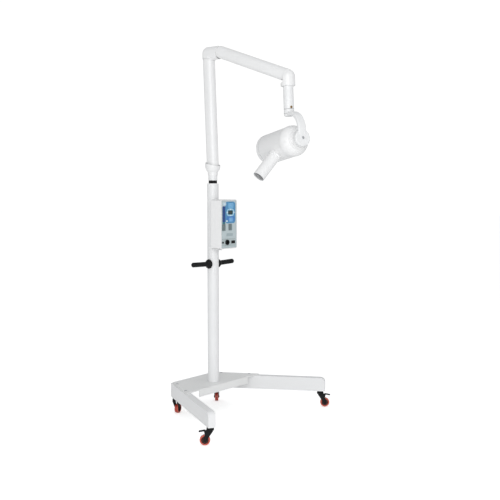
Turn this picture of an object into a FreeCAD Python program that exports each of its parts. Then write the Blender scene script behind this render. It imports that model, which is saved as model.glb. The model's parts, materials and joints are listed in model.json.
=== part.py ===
"""Mobile X-ray unit: castored V base, column, control box, balanced arm and tube head.

Frame: millimetres, origin on the floor under the column's axis, +Z up.
The arm and the two legs reach towards -Y, and +X is on the right seen from the handles.
"""

import FreeCAD
import Part
import Sketcher
import math
import os
import re

from FreeCAD import Vector

os.makedirs("parts", exist_ok=True)
doc = FreeCAD.newDocument("MobileXrayUnit")

# Driving dimensions, in millimetres and degrees

SIZES = {
    # Base
    "leg_half_spacing": 150.0,
    "leg_rear_y": 145.0,
    "leg_splay": 29.6,
    "leg_length": 631.0,
    "leg_width": 36.0,
    "leg_height": 73.0,
    "leg_wall": 3.0,
    "nose_radius": 25.0,
    "caster_height": 88.0,
    "caster_inset": 26.0,
    "deck_thickness": 6.0,
    "deck_front_y": -77.0,
    "deck_edge": 11.0,
    "deck_lip_depth": 33.0,
    "deck_lip_gap": 62.0,
    "deck_lip_wall": 4.0,
    "cross_front_depth": 30.0,
    "cross_front_half": 150.0,
    "cross_rear_depth": 40.0,
    "cross_height": 22.0,
    "cross_wall": 3.0,
    "cross_rear_y": 100.0,
    "cross_front_y": -57.0,
    "deck_bolt_y": -37.0,
    "bolt_radius": 4.0,
    "bolt_head_radius": 7.0,
    "bolt_head_height": 3.0,
    "bolt_length": 16.0,
    # Column and its socket
    "column_radius": 30.0,
    "column_wall": 3.0,
    "column_top": 1218.0,
    "socket_wall": 6.0,
    "socket_depth": 38.0,
    "socket_plate": 10.0,
    "socket_half_width": 78.0,
    "bush_length": 80.0,
    "bush_collar": 15.7,
    "bush_collar_radius": 22.0,
    "spigot_radius": 20.0,
    "neck_radius": 23.5,
    "neck_height": 30.0,
    # Casters
    "wheel_radius": 25.0,
    "wheel_width": 19.0,
    "caster_trail": 25.0,
    "axle_radius": 4.0,
    "fork_side_gap": 1.0,
    "fork_wall": 3.0,
    "crown_radius": 18.0,
    "crown_height": 7.0,
    "race_height": 9.0,
    "stem_radius": 6.0,
    "stem_length": 30.0,
    "stem_wall": 4.0,
    "lever_width": 21.0,
    "lever_length": 41.0,
    "lever_hinge_x": 13.0,
    "lever_hinge_drop": 4.5,
    "lever_thickness": 4.0,
    "lever_hinge_radius": 2.0,
    "heading_front_left": 129.0,
    "heading_front_right": -51.0,
    "heading_rear_left": 18.0,
    "heading_rear_right": 43.0,
    # Push handles
    "handle_z": 795.0,
    "handle_rise": 1.5,
    "handle_bar_radius": 8.0,
    "grip_radius": 12.5,
    "grip_flange_radius": 25.0,
    "grip_flange_length": 22.0,
    "grip_length": 129.0,
    "grip_wall_end": 6.0,
    # Control box
    "box_width": 126.0,
    "box_bottom": 880.0,
    "box_height": 255.0,
    "box_depth": 69.0,
    "box_front_y": -111.0,
    "box_wall": 2.5,
    "box_corner": 9.0,
    "box_rear_depth": 28.0,
    "overlay_margin": 4.0,
    "overlay_thickness": 1.0,
    "overlay_corner": 6.0,
    "bracket_width": 44.0,
    "bracket_height": 190.0,
    "window_width": 30.0,
    "window_height": 15.0,
    "window_x": 10.0,
    "window_drop": 67.0,
    "window_depth": 6.0,
    "window_rim": 3.0,
    "key_width": 22.0,
    "key_height": 32.0,
    "key_travel": 0.8,
    "key_inset": 3.0,
    "key_proud": 1.2,
    "key_left_x": -42.0,
    "key_right_x": 6.0,
    "key_drop": 142.0,
    "socket_x": -16.0,
    "switch_x": 32.0,
    "lower_row_drop": 221.0,
    "hand_socket_radius": 14.0,
    "hand_socket_bore": 8.0,
    "switch_width": 30.0,
    "switch_height": 15.0,
    "switch_pin_radius": 1.5,
    "fuse_x": -49.0,
    "fuse_radius": 5.0,
    "switch_wall": 2.5,
    "switch_depth": 22.0,
    "switch_axis": 3.0,
    "rocker_proud": 3.2,
    "rocker_swing": 1.2,
    "board_thickness": 1.6,
    "board_back_gap": 14.0,
    "board_margin": 6.0,
    "board_lift": 60.0,
    "post_radius": 4.0,
    "post_inset": 14.0,
    "post_drop": 8.0,
    "supply_left": -45.0,
    "supply_right": -5.0,
    "supply_depth": 22.0,
    "supply_low": 90.0,
    "supply_high": 150.0,
    "relay_left": 10.0,
    "relay_right": 40.0,
    "relay_depth": 18.0,
    "relay_low": 170.0,
    "relay_high": 200.0,
    "inlet_x": 20.0,
    "inlet_width": 28.0,
    "inlet_depth": 20.0,
    "inlet_height": 22.0,
    "inlet_setback": 3.0,
    "inlet_wall": 3.0,
    "inlet_proud": 1.5,
    "bracket_thickness": 4.0,
    "bracket_drop": 12.0,
    "saddle_inset": 8.0,
    "saddle_low": 20.0,
    "saddle_high": 150.0,
    # Balanced arm
    "shoulder_z": 1314.0,
    "lower_arm_length": 538.5,
    "lower_arm_lean": 2.6,
    "elbow_reach": 84.0,
    "elbow_rise": 39.0,
    "upper_arm_length": 450.0,
    "upper_arm_droop": 19.5,
    "arm_width": 54.0,
    "arm_thickness": 62.0,
    "arm_corner": 24.0,
    "arm_shell_wall": 2.5,
    "frame_width": 36.0,
    "frame_thickness": 40.0,
    "frame_wall": 3.0,
    "frame_end_slot": 46.0,
    "pivot_pin_radius": 5.0,
    "lug_radius": 14.0,
    "lug_web": 20.0,
    "lug_right_face": 2.0,
    "link_offset": 13.0,
    "link_pin_radius": 3.0,
    "link_eye_radius": 6.0,
    "link_thickness": 6.0,
    "link_gap": 2.5,
    "link_rod_width": 6.0,
    "spring_radius": 6.2,
    "spring_wire": 1.3,
    "spring_pitch": 9.0,
    "spring_x": -7.0,
    "spring_rod_radius": 3.0,
    "spring_start": 110.0,
    "spring_turns": 20.0,
    "plate_thickness": 5.0,
    "arm_slot_inner": 20.0,
    "arm_slot_outer": 6.5,
    "arm_slot_under": 18.0,
    "cover_wall": 2.0,
    "cover_gap": 0.6,
    "elbow_mouth_rise": 12.0,
    "elbow_mouth_reach": 14.0,
    "shoulder_radius": 40.0,
    "shoulder_height": 50.0,
    "shoulder_wall": 2.5,
    "shoulder_rim_front": 6.0,
    "shoulder_rim_rear": 16.0,
    # Wrist, drop tube and yoke
    "wrist_lean": 3.0,
    "drop_offset": 4.0,
    "wrist_radius": 35.5,
    "wrist_collar_drop": 53.0,
    "wrist_dome_drop": 8.0,
    "drop_radius": 25.0,
    "drop_wall": 3.0,
    "drop_end": 164.0,
    "hub_length": 34.0,
    "hub_seam": 1.2,
    "hub_pin_radius": 12.0,
    "hub_pin_length": 40.0,
    "yoke_reach": 117.0,
    "yoke_drop": 134.0,
    "yoke_bend": 88.0,
    "yoke_width": 42.0,
    "yoke_thickness": 20.0,
    "yoke_boss_radius": 40.0,
    "yoke_turn": 24.3,
    "yoke_dip": 4.3,
    "tilt_pin_radius": 8.0,
    "tilt_pin_length": 22.0,
    # Tube head
    "head_tilt": 43.3,
    "head_radius": 74.4,
    "head_near": 74.0,
    "head_far": 253.0,
    "head_dome": 55.0,
    "head_end_radius": 50.0,
    "head_chamfer": 36.0,
    "head_seam": 198.0,
    "head_wall": 4.0,
    "head_neck_radius": 33.0,
    "cone_radius": 30.0,
    "cone_wall": 2.5,
    "cone_at": 73.0,
    "cone_tip": 216.0,
    "cone_seat": 84.0,
    "cone_boss_radius": 33.0,
    "filter_thickness": 5.0,
    "beam_radius": 9.0,
    "insert_radius": 19.0,
    "insert_length": 84.0,
    "tank_plate": 4.0,
    "tank_half_width": 38.0,
    "tank_length": 96.0,
    # Clearances, and how far a cutting shape runs past what it cuts
    "cut_reach": 60.0,
    "running_gap": 0.05,
    "face_gap": 0.3,
    "fit_gap": 0.2,
}

# Sizes that follow from the driving ones, as formulas of the same sheet

DERIVED = {
    "leg_top": "caster_height + leg_height",
    "deck_top": "leg_top + deck_thickness",
    "leg_half_cut": "leg_width / 2 / cos(leg_splay)",
    "cross_top": "leg_top - socket_plate",
    "cross_bottom": "cross_top - cross_height",
    "column_bottom": "leg_top - socket_depth",
    "neck_bottom": "column_top + bush_collar + face_gap",
    "neck_top": "neck_bottom + neck_height",
    "fork_top": "caster_height - race_height - face_gap",
    "fork_half": "wheel_width / 2 + fork_side_gap",
    "lever_hinge_z": "fork_top - crown_height - lever_hinge_drop",
    "box_rear_y": "box_front_y + box_depth",
    "box_top": "box_bottom + box_height",
    "box_split_y": "box_rear_y - box_rear_depth",
    "board_y": "box_front_y + box_wall + board_back_gap",
    "elbow_y": "lower_arm_length * sin(lower_arm_lean)",
    "elbow_z": "shoulder_z + lower_arm_length * cos(lower_arm_lean)",
    "upper_y": "elbow_y - elbow_reach",
    "upper_z": "elbow_z + elbow_rise",
    "wrist_y": "upper_y - upper_arm_length * cos(upper_arm_droop)",
    "wrist_z": "upper_z - upper_arm_length * sin(upper_arm_droop)",
    "drum_radius": "arm_thickness / 2",
    "slot_half": "frame_width / 2 - frame_wall",
    "lug_half": "slot_half - face_gap",
    "cover_inner": "arm_width / 2 + cover_gap",
    "cover_outer": "cover_inner + cover_wall",
    "room_reach": "drum_radius + cover_gap",
    "wall_reach": "room_reach + cover_wall",
    "room_corner": "arm_corner + cover_gap",
    "wall_corner": "room_corner + cover_wall",
    "link_near": "lug_right_face + link_gap",
    "link_far": "link_near + link_thickness",
    "spring_end": "spring_start + spring_turns * spring_pitch",
    "hub_top": "drop_end + hub_seam",
    "hub_bottom": "hub_top + hub_length",
    "yoke_centre": "hub_bottom - yoke_thickness / 2",
    "tilt_level": "yoke_centre + yoke_drop",
    "neck_face": "yoke_reach - yoke_thickness / 2 - face_gap",
    "head_bore": "head_radius - head_wall",
}

sheet = doc.addObject("Spreadsheet::Sheet", "Sizes")
row = 0
for alias, value in SIZES.items():
    row += 1
    sheet.set(f"A{row}", alias.replace("_", " "))
    sheet.set(f"B{row}", str(value))
    sheet.setAlias(f"B{row}", alias)
for alias, formula in DERIVED.items():
    row += 1
    sheet.set(f"A{row}", alias.replace("_", " "))
    sheet.set(f"B{row}", "=" + formula)
    sheet.setAlias(f"B{row}", alias)
doc.recompute()

WORDS = set(SIZES) | set(DERIVED)
PARTS = []


def size(name):
    """Value of one cell of the sheet."""
    return float(sheet.get(name))


def linked(formula):
    """The formula with each size's name pointing at its cell."""
    return re.sub(r"[a-z_]+", lambda m: "Sizes." + m[0] if m[0] in WORDS else m[0], str(formula))


def bind(thing, prop, formula):
    """Ties one property of an object to a formula of sizes."""
    thing.setExpression(prop, linked(formula))


def shift(x="0", y="0", z="0"):
    """Formula of a placement that only moves."""
    return f"placement(vector({x}; {y}; {z}); rotation(vector(0; 0; 1); 0))"


def turn(axis, angle):
    """Formula of a placement that only turns about one of the main axes."""
    unit = {"X": "1; 0; 0", "Y": "0; 1; 0", "Z": "0; 0; 1"}[axis]
    return f"placement(vector(0; 0; 0); rotation(vector({unit}); {angle}))"


def at(*steps):
    """Formula of several placements, one after the other."""
    return " * ".join(steps)


# Frames of the moving groups, each as a placement formula

LOWER_ARM = at(shift(z="shoulder_z"), turn("X", "-lower_arm_lean"))
UPPER_ARM = at(shift(y="upper_y", z="upper_z"), turn("X", "90 + upper_arm_droop"))
WRIST = at(shift(y="wrist_y", z="wrist_z"), turn("X", "-wrist_lean"))
YOKE = at(WRIST, shift(y="-drop_offset"), turn("Z", "-yoke_turn"))
HEAD = at(YOKE, shift(z="-tilt_level"), turn("X", "-yoke_dip"), turn("Y", "head_tilt"))


def block(name, x, y, z):
    """Box between two formulas along each axis."""
    box = doc.addObject("Part::Box", name)
    for prop, (low, high) in zip(("Length", "Width", "Height"), (x, y, z)):
        bind(box, prop, f"({high}) - ({low})")
    bind(box, "Placement", shift(x[0], y[0], z[0]))
    return box


def rod(name, radius, low, high, axis="Z", x="0", y="0", z="0"):
    """Cylinder along an axis, from low to high on it."""
    bar = doc.addObject("Part::Cylinder", name)
    bind(bar, "Radius", radius)
    bind(bar, "Height", f"({high}) - ({low})")
    tilt = {"Z": shift(), "X": turn("Y", 90), "Y": turn("X", -90)}[axis]
    bind(bar, "Placement", at(shift(x, y, z), tilt, shift(z=low)))
    return bar


def ball(name, radius, x="0", y="0", z="0"):
    """Sphere at a point."""
    orb = doc.addObject("Part::Sphere", name)
    bind(orb, "Radius", radius)
    bind(orb, "Placement", shift(x, y, z))
    return orb


def fuse(name, *things):
    """One solid of several."""
    whole = doc.addObject("Part::MultiFuse", name)
    whole.Shapes = list(things)
    whole.Refine = True
    return whole


def cut(name, base, *tools):
    """A solid less the tools."""
    tool = tools[0] if len(tools) == 1 else fuse(name + "_tools", *tools)
    left = doc.addObject("Part::Cut", name)
    left.Base = base
    left.Tool = tool
    left.Refine = True
    return left


def common(name, first, second):
    """What two solids share."""
    shared = doc.addObject("Part::MultiCommon", name)
    shared.Shapes = [first, second]
    shared.Refine = True
    return shared


def together(name, *things):
    """Several separate solids in one sub-part."""
    group = doc.addObject("Part::Compound", name)
    group.Links = list(things)
    return group


def rounded(name, base, radius, wanted):
    """Fillet on the edges that the test picks, by their middle point and the span between their ends."""
    doc.recompute()
    amount = value_of(radius)
    edges = []
    for number, edge in enumerate(base.Shape.Edges, 1):
        middle = edge.valueAt((edge.FirstParameter + edge.LastParameter) / 2)
        span = edge.Vertexes[-1].Point - edge.Vertexes[0].Point
        if wanted(middle, span):
            edges.append((number, amount, amount))
    smooth = doc.addObject("Part::Fillet", name)
    smooth.Base = base
    smooth.Edges = edges
    return smooth


def soft_rod(name, radius, half, corner, y="0", z="0"):
    """Cylinder along X, centred on X = 0, with both rims rounded."""
    plain = rod(name + "_plain", radius, f"-({half})", half, axis="X", y=y, z=z)
    return rounded(name, plain, corner, lambda middle, span: span.Length < 0.01)


def soft_block(name, x, y, z, corner, axis):
    """Block with the four edges along one axis rounded."""
    square = block(name + "_square", x, y, z)
    return rounded(name, square, corner, lambda middle, span: abs(getattr(span, axis)) > 0.5)


def egg(name, radius, height, z):
    """Ellipsoid with its centre on the column's axis, round in plan."""
    shell = doc.addObject("Part::Ellipsoid", name)
    bind(shell, "Radius1", height)
    bind(shell, "Radius2", radius)
    bind(shell, "Radius3", radius)
    bind(shell, "Placement", shift(z=z))
    return shell


def sketch_in(body, plane, points):
    """Closed outline on one of the body's own planes, each corner tied to two formulas."""
    outline = body.newObject("Sketcher::SketchObject", body.Name + "_outline")
    support = [f for f in body.Origin.OriginFeatures if f.Role == plane][0]
    outline.AttachmentSupport = [(support, "")]
    outline.MapMode = "FlatFace"
    count = len(points)
    probe = [(value_of(a), value_of(b)) for a, b in points]
    for i in range(count):
        start = Vector(*probe[i], 0)
        end = Vector(*probe[(i + 1) % count], 0)
        outline.addGeometry(Part.LineSegment(start, end), False)
    for i in range(count):
        joint = ("Coincident", i, 2, (i + 1) % count, 1)
        outline.addConstraint(Sketcher.Constraint(*joint))
    for i, (a, b) in enumerate(points):
        for kind, formula, number in (("DistanceX", a, 0), ("DistanceY", b, 1)):
            rule = Sketcher.Constraint(kind, -1, 1, i, 1, probe[i][number])
            index = outline.addConstraint(rule)
            outline.setExpression(f"Constraints[{index}]", linked(formula))
    return outline


def value_of(formula):
    """Number that a formula of sizes gives."""
    return float(sheet.evalExpression(linked(formula).replace("Sizes.", "")))


def turned(name, points):
    """Solid of revolution about Z, from corners given as radius and height."""
    body = doc.addObject("PartDesign::Body", name)
    outline = sketch_in(body, "XZ_Plane", points)
    spin = body.newObject("PartDesign::Revolution", name + "_turned")
    spin.Profile = outline
    spin.ReferenceAxis = (outline, ["V_Axis"])
    spin.Angle = 360
    return body


def plate(name, plane, points, low, high):
    """Flat piece: an outline on a plane, as thick as from low to high along its normal."""
    body = doc.addObject("PartDesign::Body", name)
    outline = sketch_in(body, plane, points)
    bind(outline, "AttachmentOffset", shift(z=low))
    pad = body.newObject("PartDesign::Pad", name + "_pad")
    pad.Profile = outline
    bind(pad, "Length", f"({high}) - ({low})")
    return body


def finish(label, thing, frame=None):
    """Names a sub-part and puts it in its frame."""
    thing.Label = label
    if frame:
        bind(thing, "Placement", frame)
    PARTS.append(thing)
    return thing


def made(label, shape, frame=None):
    """Sub-part whose shape is worked out directly from the sheet's sizes."""
    thing = doc.addObject("Part::Feature", label)
    thing.Shape = shape
    return finish(label, thing, frame)


# Base: two splayed legs, tied by cross tubes under a folded deck


def leg_frame(side):
    """Frame of a leg: origin at the rear end's centre on the floor, X along the leg."""
    heading = "-90 - leg_splay" if side < 0 else "-90 + leg_splay"
    return at(shift(f"{side} * leg_half_spacing", "leg_rear_y"), turn("Z", heading))


def leg(label, side):
    """Rectangular tube, closed and rounded at the nose, with a bored seat for each caster."""
    outer = block(label + "_outer", ("0", "leg_length"), ("-leg_width / 2", "leg_width / 2"),
                  ("caster_height", "leg_top"))
    nose = rounded(label + "_nose", outer, "nose_radius",
                   lambda middle, span: middle.x > size("leg_length") - 0.1
                   and middle.z > size("leg_top") - 0.1 and abs(span.y) > 1)
    hollow = block(label + "_hollow", ("-1", "leg_length - nose_radius"),
                   ("leg_wall - leg_width / 2", "leg_width / 2 - leg_wall"),
                   ("caster_height + leg_wall", "leg_top - leg_wall"))
    shell = cut(label + "_tube", nose, hollow)
    seats = []
    bores = []
    for end, along in (("rear", "caster_inset"), ("front", "leg_length - caster_inset")):
        seats.append(rod(f"{label}_{end}_seat", "stem_radius + stem_wall", "caster_height",
                         "caster_height + stem_length + stem_wall", x=along))
        bores.append(rod(f"{label}_{end}_bore", "stem_radius", "caster_height - 1",
                         "caster_height + stem_length", x=along))
    solid = fuse(label + "_with_seats", shell, *seats)
    for number, back in enumerate(DECK_BOLT_Y):
        along = f"(leg_rear_y - ({back})) / cos(leg_splay)"
        bores.append(rod(f"{label}_bolt_hole_{number}", "bolt_radius", "leg_top - leg_wall - 1",
                         "leg_top + 1", x=along))
    finish(label, cut(label, solid, *bores), leg_frame(side))


def leg_line(y, inward="0"):
    """Formula of a leg's centreline X at a given Y, less a distance towards the middle."""
    return f"(leg_half_spacing + (leg_rear_y - ({y})) * tan(leg_splay) - ({inward}))"


DECK_BOLT_Y = ("deck_bolt_y", "cross_rear_y")

for side, word in ((-1, "left"), (1, "right")):
    leg("leg_" + word, side)

caps = []
for side, word in ((-1, "left"), (1, "right")):
    plug = block(f"cap_plug_{word}", ("0", "12"),
                 ("leg_wall - leg_width / 2", "leg_width / 2 - leg_wall"),
                 ("caster_height + leg_wall", "leg_top - leg_wall"))
    lid = block(f"cap_lid_{word}", ("-4", "0"), ("-leg_width / 2", "leg_width / 2"),
                ("caster_height", "leg_top"))
    cap = fuse(f"cap_{word}", plug, lid)
    bind(cap, "Placement", leg_frame(side))
    caps.append(cap)
finish("leg_end_caps", together("leg_end_caps", *caps))


def cross_span(middle, depth):
    """Low and high Y of a cross tube."""
    return f"({middle} - {depth} / 2)", f"({middle} + {depth} / 2)"


front_low, front_high = cross_span("cross_front_y", "cross_front_depth")
rear_low, rear_high = cross_span("cross_rear_y", "cross_rear_depth")
tube_z = ("cross_bottom", "cross_top")
bore_z = ("cross_bottom + cross_wall", "cross_top - cross_wall")
front_outer = block("cross_front_outer", ("-cross_front_half", "cross_front_half"),
                    (front_low, front_high), tube_z)
front_inner = block("cross_front_inner", ("-cross_front_half - 1", "cross_front_half + 1"),
                    (front_low + " + cross_wall", front_high + " - cross_wall"), bore_z)
rear_corners = [
    (leg_line(rear_low, "leg_half_cut"), rear_low),
    (leg_line(rear_high, "leg_half_cut"), rear_high),
    ("-" + leg_line(rear_high, "leg_half_cut"), rear_high),
    ("-" + leg_line(rear_low, "leg_half_cut"), rear_low),
]
rear_outer = plate("cross_rear_outer", "XY_Plane", rear_corners, *tube_z)
rear_inner = block("cross_rear_inner", ("-" + leg_line(rear_low), leg_line(rear_low)),
                   (rear_low + " + cross_wall", rear_high + " - cross_wall"), bore_z)
finish("cross_tubes", together("cross_tubes", cut("cross_front", front_outer, front_inner),
                               cut("cross_rear", rear_outer, rear_inner)))

deck_corners = []
for side, y in ((1, "deck_front_y"), (1, "leg_rear_y"), (-1, "leg_rear_y"), (-1, "deck_front_y")):
    sign = "" if side > 0 else "-"
    deck_corners.append((sign + leg_line(y, "-deck_edge / cos(leg_splay)"), y))
deck_top = plate("deck_sheet", "XY_Plane", deck_corners, "leg_top", "deck_top")
front_half = leg_line("deck_front_y", "leg_half_cut + deck_lip_gap")
rear_half = leg_line("leg_rear_y", "leg_half_cut + 2")
front_lip = block("deck_front_lip", ("-" + front_half, front_half),
                  ("deck_front_y", "deck_front_y + deck_lip_wall"),
                  ("leg_top - deck_lip_depth", "leg_top + 1"))
rear_lip = block("deck_rear_lip", ("-" + rear_half, rear_half),
                 ("leg_rear_y - deck_lip_wall", "leg_rear_y"),
                 ("leg_top - deck_lip_depth", "leg_top + 1"))
deck_whole = fuse("deck_whole", deck_top, front_lip, rear_lip)

bolts = []
bolt_holes = []
for number, y in enumerate(DECK_BOLT_Y):
    for side, word in (("-", "left"), ("", "right")):
        name = f"bolt_{number}_{word}"
        x = side + leg_line(y)
        shank = rod(name + "_shank", "bolt_radius", "deck_top - bolt_length", "deck_top", x=x, y=y)
        head = rod(name + "_head", "bolt_head_radius", "deck_top", "deck_top + bolt_head_height",
                   x=x, y=y)
        bolts.append(fuse(name, shank, head))
        bolt_holes.append(rod(name + "_hole", "bolt_radius", "leg_top - 1", "deck_top + 1", x=x, y=y))
column_hole = rod("deck_column_hole", "column_radius + fit_gap", "leg_top - 1", "deck_top + 1")
finish("deck_plate", cut("deck_plate", deck_whole, column_hole, *bolt_holes))
finish("base_bolts", together("base_bolts", *bolts))

# Column with its push bars, and the socket that it stands in

socket_sheet = block("socket_sheet", ("-socket_half_width", "socket_half_width"),
                     (front_low, rear_high), ("cross_top", "leg_top"))
socket_pipe = rod("socket_pipe", "column_radius + socket_wall", "column_bottom - socket_wall",
                  "leg_top")
socket_whole = fuse("socket_whole", socket_sheet, socket_pipe)
socket_bore = rod("socket_bore", "column_radius", "column_bottom", "leg_top + 1")
finish("column_socket", cut("column_socket", socket_whole, socket_bore))


def handle_frame(sign):
    """Frame at the column's axis with Z along one side's bar."""
    return at(shift(z="handle_z"), turn("Y", f"{sign} * (90 - handle_rise)"))


column_outer = rod("column_outer", "column_radius", "column_bottom", "column_top")
column_inner = rod("column_inner", "column_radius - column_wall", "column_bottom - 1",
                   "column_top + 1")
bars = []
grips = []
for side, sign in (("left", -1), ("right", 1)):
    start = "column_radius + face_gap"
    end = start + " + grip_length"
    bar = rod(f"bar_{side}", "handle_bar_radius", "0", f"{end} - grip_wall_end")
    bind(bar, "Placement", handle_frame(sign))
    bars.append(bar)
    grip = turned(f"grip_{side}", [
        ("handle_bar_radius", f"{start} + 1.5"),
        ("grip_flange_radius - 2", f"{start} + 1.5"),
        ("grip_flange_radius", f"{start} + 4"),
        ("grip_flange_radius - 1", f"{start} + 7"),
        ("grip_radius", f"{start} + grip_flange_length"),
        ("grip_radius", f"{end} - 4"),
        ("grip_radius - 4", end),
        ("0", end),
        ("0", f"{end} - grip_wall_end"),
        ("handle_bar_radius", f"{end} - grip_wall_end"),
    ])
    bind(grip, "Placement", handle_frame(sign))
    grips.append(grip)
column_pipe = cut("column_pipe", column_outer, column_inner)
finish("column_tube", fuse("column_tube", column_pipe, *bars))
finish("handle_grips", together("handle_grips", *grips))

# Bush that guides the arm in the column's top

finish("column_bush", turned("column_bush", [
    ("spigot_radius + running_gap", "column_top - bush_length"),
    ("column_radius - column_wall", "column_top - bush_length"),
    ("column_radius - column_wall", "column_top"),
    ("bush_collar_radius", "column_top"),
    ("bush_collar_radius", "column_top + bush_collar"),
    ("spigot_radius + running_gap", "column_top + bush_collar"),
]))


# Control box: rear and front shells, overlay, display, keys, switch and inlet


def front_cut(name, x, z_drop, width, height, depth):
    """Rectangular opening through the front wall, given from the box's top."""
    return block(name, (f"{x} - ({width}) / 2", f"{x} + ({width}) / 2"),
                 ("box_front_y - overlay_thickness - 2", f"box_front_y + {depth}"),
                 (f"box_top - ({z_drop}) - ({height}) / 2", f"box_top - ({z_drop}) + ({height}) / 2"))


def shell_half(name, y_low, y_high, open_low, open_high):
    """Rounded box shell between two Y values, open on the side that has no end wall."""
    outer = block(name + "_outer", ("-box_width / 2", "box_width / 2"), (y_low, y_high),
                  ("box_bottom", "box_top"))
    smooth = rounded(name + "_smooth", outer, "box_corner", lambda middle, span: abs(span.y) > 1)
    hollow = block(name + "_hollow", ("box_wall - box_width / 2", "box_width / 2 - box_wall"),
                   (open_low, open_high), ("box_bottom + box_wall", "box_top - box_wall"))
    return smooth, hollow


rear_body, rear_hollow = shell_half("rear_shell", "box_split_y", "box_rear_y",
                                    "box_split_y - 1", "box_rear_y - box_wall")
inlet_low = "box_split_y + inlet_setback"
inlet_high = inlet_low + " + inlet_depth"
inlet_hole = block("inlet_hole", ("inlet_x - inlet_width / 2", "inlet_x + inlet_width / 2"),
                   (inlet_low, inlet_high), ("box_bottom - 1", "box_bottom + box_wall + 1"))
finish("control_rear_shell", cut("control_rear_shell", rear_body, rear_hollow, inlet_hole))

front_body, front_hollow = shell_half("front_shell", "box_front_y", "box_split_y",
                                      "box_front_y + box_wall", "box_split_y + 1")
wall_through = "box_wall + 1"
row_z = "box_top - lower_row_drop"
panel_openings = [
    front_cut("window_opening", "window_x", "window_drop", "window_width", "window_height",
              wall_through),
    front_cut("key_left_opening", "key_left_x", "key_drop", "key_width - 4", "key_height - 4",
              wall_through),
    front_cut("key_right_opening", "key_right_x", "key_drop", "key_width - 4", "key_height - 4",
              wall_through),
    front_cut("switch_opening", "switch_x", "lower_row_drop", "switch_width", "switch_height",
              wall_through),
    rod("hand_socket_opening", "hand_socket_bore + 3", "box_front_y - 1",
        "box_front_y + " + wall_through, axis="Y", x="socket_x", z=row_z),
    rod("fuse_opening", "fuse_radius - 1", "box_front_y - 1", "box_front_y + " + wall_through,
        axis="Y", x="fuse_x", z=row_z),
]
finish("control_front_shell", cut("control_front_shell", front_body, front_hollow, *panel_openings))

overlay_outer = block("overlay_outer",
                      ("overlay_margin - box_width / 2", "box_width / 2 - overlay_margin"),
                      ("box_front_y - overlay_thickness", "box_front_y"),
                      ("box_bottom + overlay_margin", "box_top - overlay_margin"))
overlay_smooth = rounded("overlay_smooth", overlay_outer, "overlay_corner",
                         lambda middle, span: abs(span.y) > 0.5)
overlay_openings = [
    front_cut("overlay_window", "window_x", "window_drop", "window_width", "window_height", "1"),
    front_cut("overlay_key_left", "key_left_x", "key_drop", "key_width", "key_height", "1"),
    front_cut("overlay_key_right", "key_right_x", "key_drop", "key_width", "key_height", "1"),
    front_cut("overlay_switch", "switch_x", "lower_row_drop", "switch_width", "switch_height", "1"),
    rod("overlay_hand_socket", "hand_socket_radius", "box_front_y - 2", "box_front_y + 1", axis="Y",
        x="socket_x", z=row_z),
    rod("overlay_fuse", "fuse_radius + fit_gap", "box_front_y - 2", "box_front_y + 1", axis="Y",
        x="fuse_x", z=row_z),
]
finish("control_overlay", cut("control_overlay", overlay_smooth, *overlay_openings))



def around(middle, width, height, drop, grow):
    """X and Z spans of a rectangle on the panel, grown or shrunk all round."""
    level = f"(box_top - ({drop}))"
    return ((f"{middle} - {width} / 2 - ({grow})", f"{middle} + {width} / 2 + ({grow})"),
            (f"{level} - {height} / 2 - ({grow})", f"{level} + {height} / 2 + ({grow})"))


pane_x, pane_z = around("window_x", "window_width", "window_height", "window_drop", "-fit_gap")
rim_x, rim_z = around("window_x", "window_width", "window_height", "window_drop", "window_rim")
pane = block("window_pane", pane_x,
             ("box_front_y - overlay_thickness", "box_front_y + window_depth"), pane_z)
rim = block("window_rim", rim_x, ("box_front_y + box_wall", "board_y"), rim_z)
finish("display_window", fuse("display_window", pane, rim))

board_half = "(box_width / 2 - box_wall - board_margin)"
board = block("board_sheet", ("-" + board_half, board_half),
              ("board_y", "board_y + board_thickness"),
              ("box_bottom + board_lift", "box_top - box_wall - post_drop"))
posts = []
for sign in ("-", ""):
    for z in ("box_bottom + board_lift + post_drop", "box_top - box_wall - 2 * post_drop"):
        posts.append(rod(f"board_post_{len(posts)}", "post_radius", "box_front_y + box_wall",
                         "board_y", axis="Y", x=f"{sign}(box_width / 2 - box_wall - post_inset)",
                         z=z))
chips = [block(f"board_{word}", (f"{word}_left", f"{word}_right"),
               ("board_y + board_thickness", f"board_y + {word}_depth"),
               (f"box_bottom + {word}_low", f"box_bottom + {word}_high"))
         for word in ("supply", "relay")]
finish("control_board", fuse("control_board", board, *posts, *chips))

key_back = "box_front_y - key_travel - fit_gap"
for word in ("left", "right"):
    cap_x, cap_z = around(f"key_{word}_x", "key_width", "key_height", "key_drop", "-face_gap")
    stem_x, stem_z = around(f"key_{word}_x", "key_width", "key_height", "key_drop", "-key_inset")
    cap = block(f"key_{word}_cap", cap_x,
                ("box_front_y - overlay_thickness - key_proud", key_back), cap_z)
    stem = block(f"key_{word}_stem", stem_x,
                 (key_back + " - 0.1", "board_y - key_travel - fit_gap"), stem_z)
    finish(f"key_{word}", fuse(f"key_{word}", cap, stem))

ring = rod("hand_ring", "hand_socket_radius - fit_gap", "box_front_y - 3", "box_front_y", axis="Y",
           x="socket_x", z=row_z)
barrel = rod("hand_barrel", "hand_socket_bore + 3", "box_front_y - 1", "box_front_y + 26",
             axis="Y", x="socket_x", z=row_z)
hand_bore = rod("hand_bore", "hand_socket_bore", "box_front_y - 4", "box_front_y + 20", axis="Y",
                x="socket_x", z=row_z)
finish("hand_switch_socket", cut("hand_switch_socket", fuse("hand_whole", ring, barrel), hand_bore))

fuse_cap = rod("fuse_cap", "fuse_radius", "box_front_y - 3", "box_front_y", axis="Y", x="fuse_x",
               z=row_z)
fuse_tail = rod("fuse_tail", "fuse_radius - 1", "box_front_y - 1", "box_front_y + 30", axis="Y",
                x="fuse_x", z=row_z)
finish("fuse_holder", fuse("fuse_holder", fuse_cap, fuse_tail))

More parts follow.
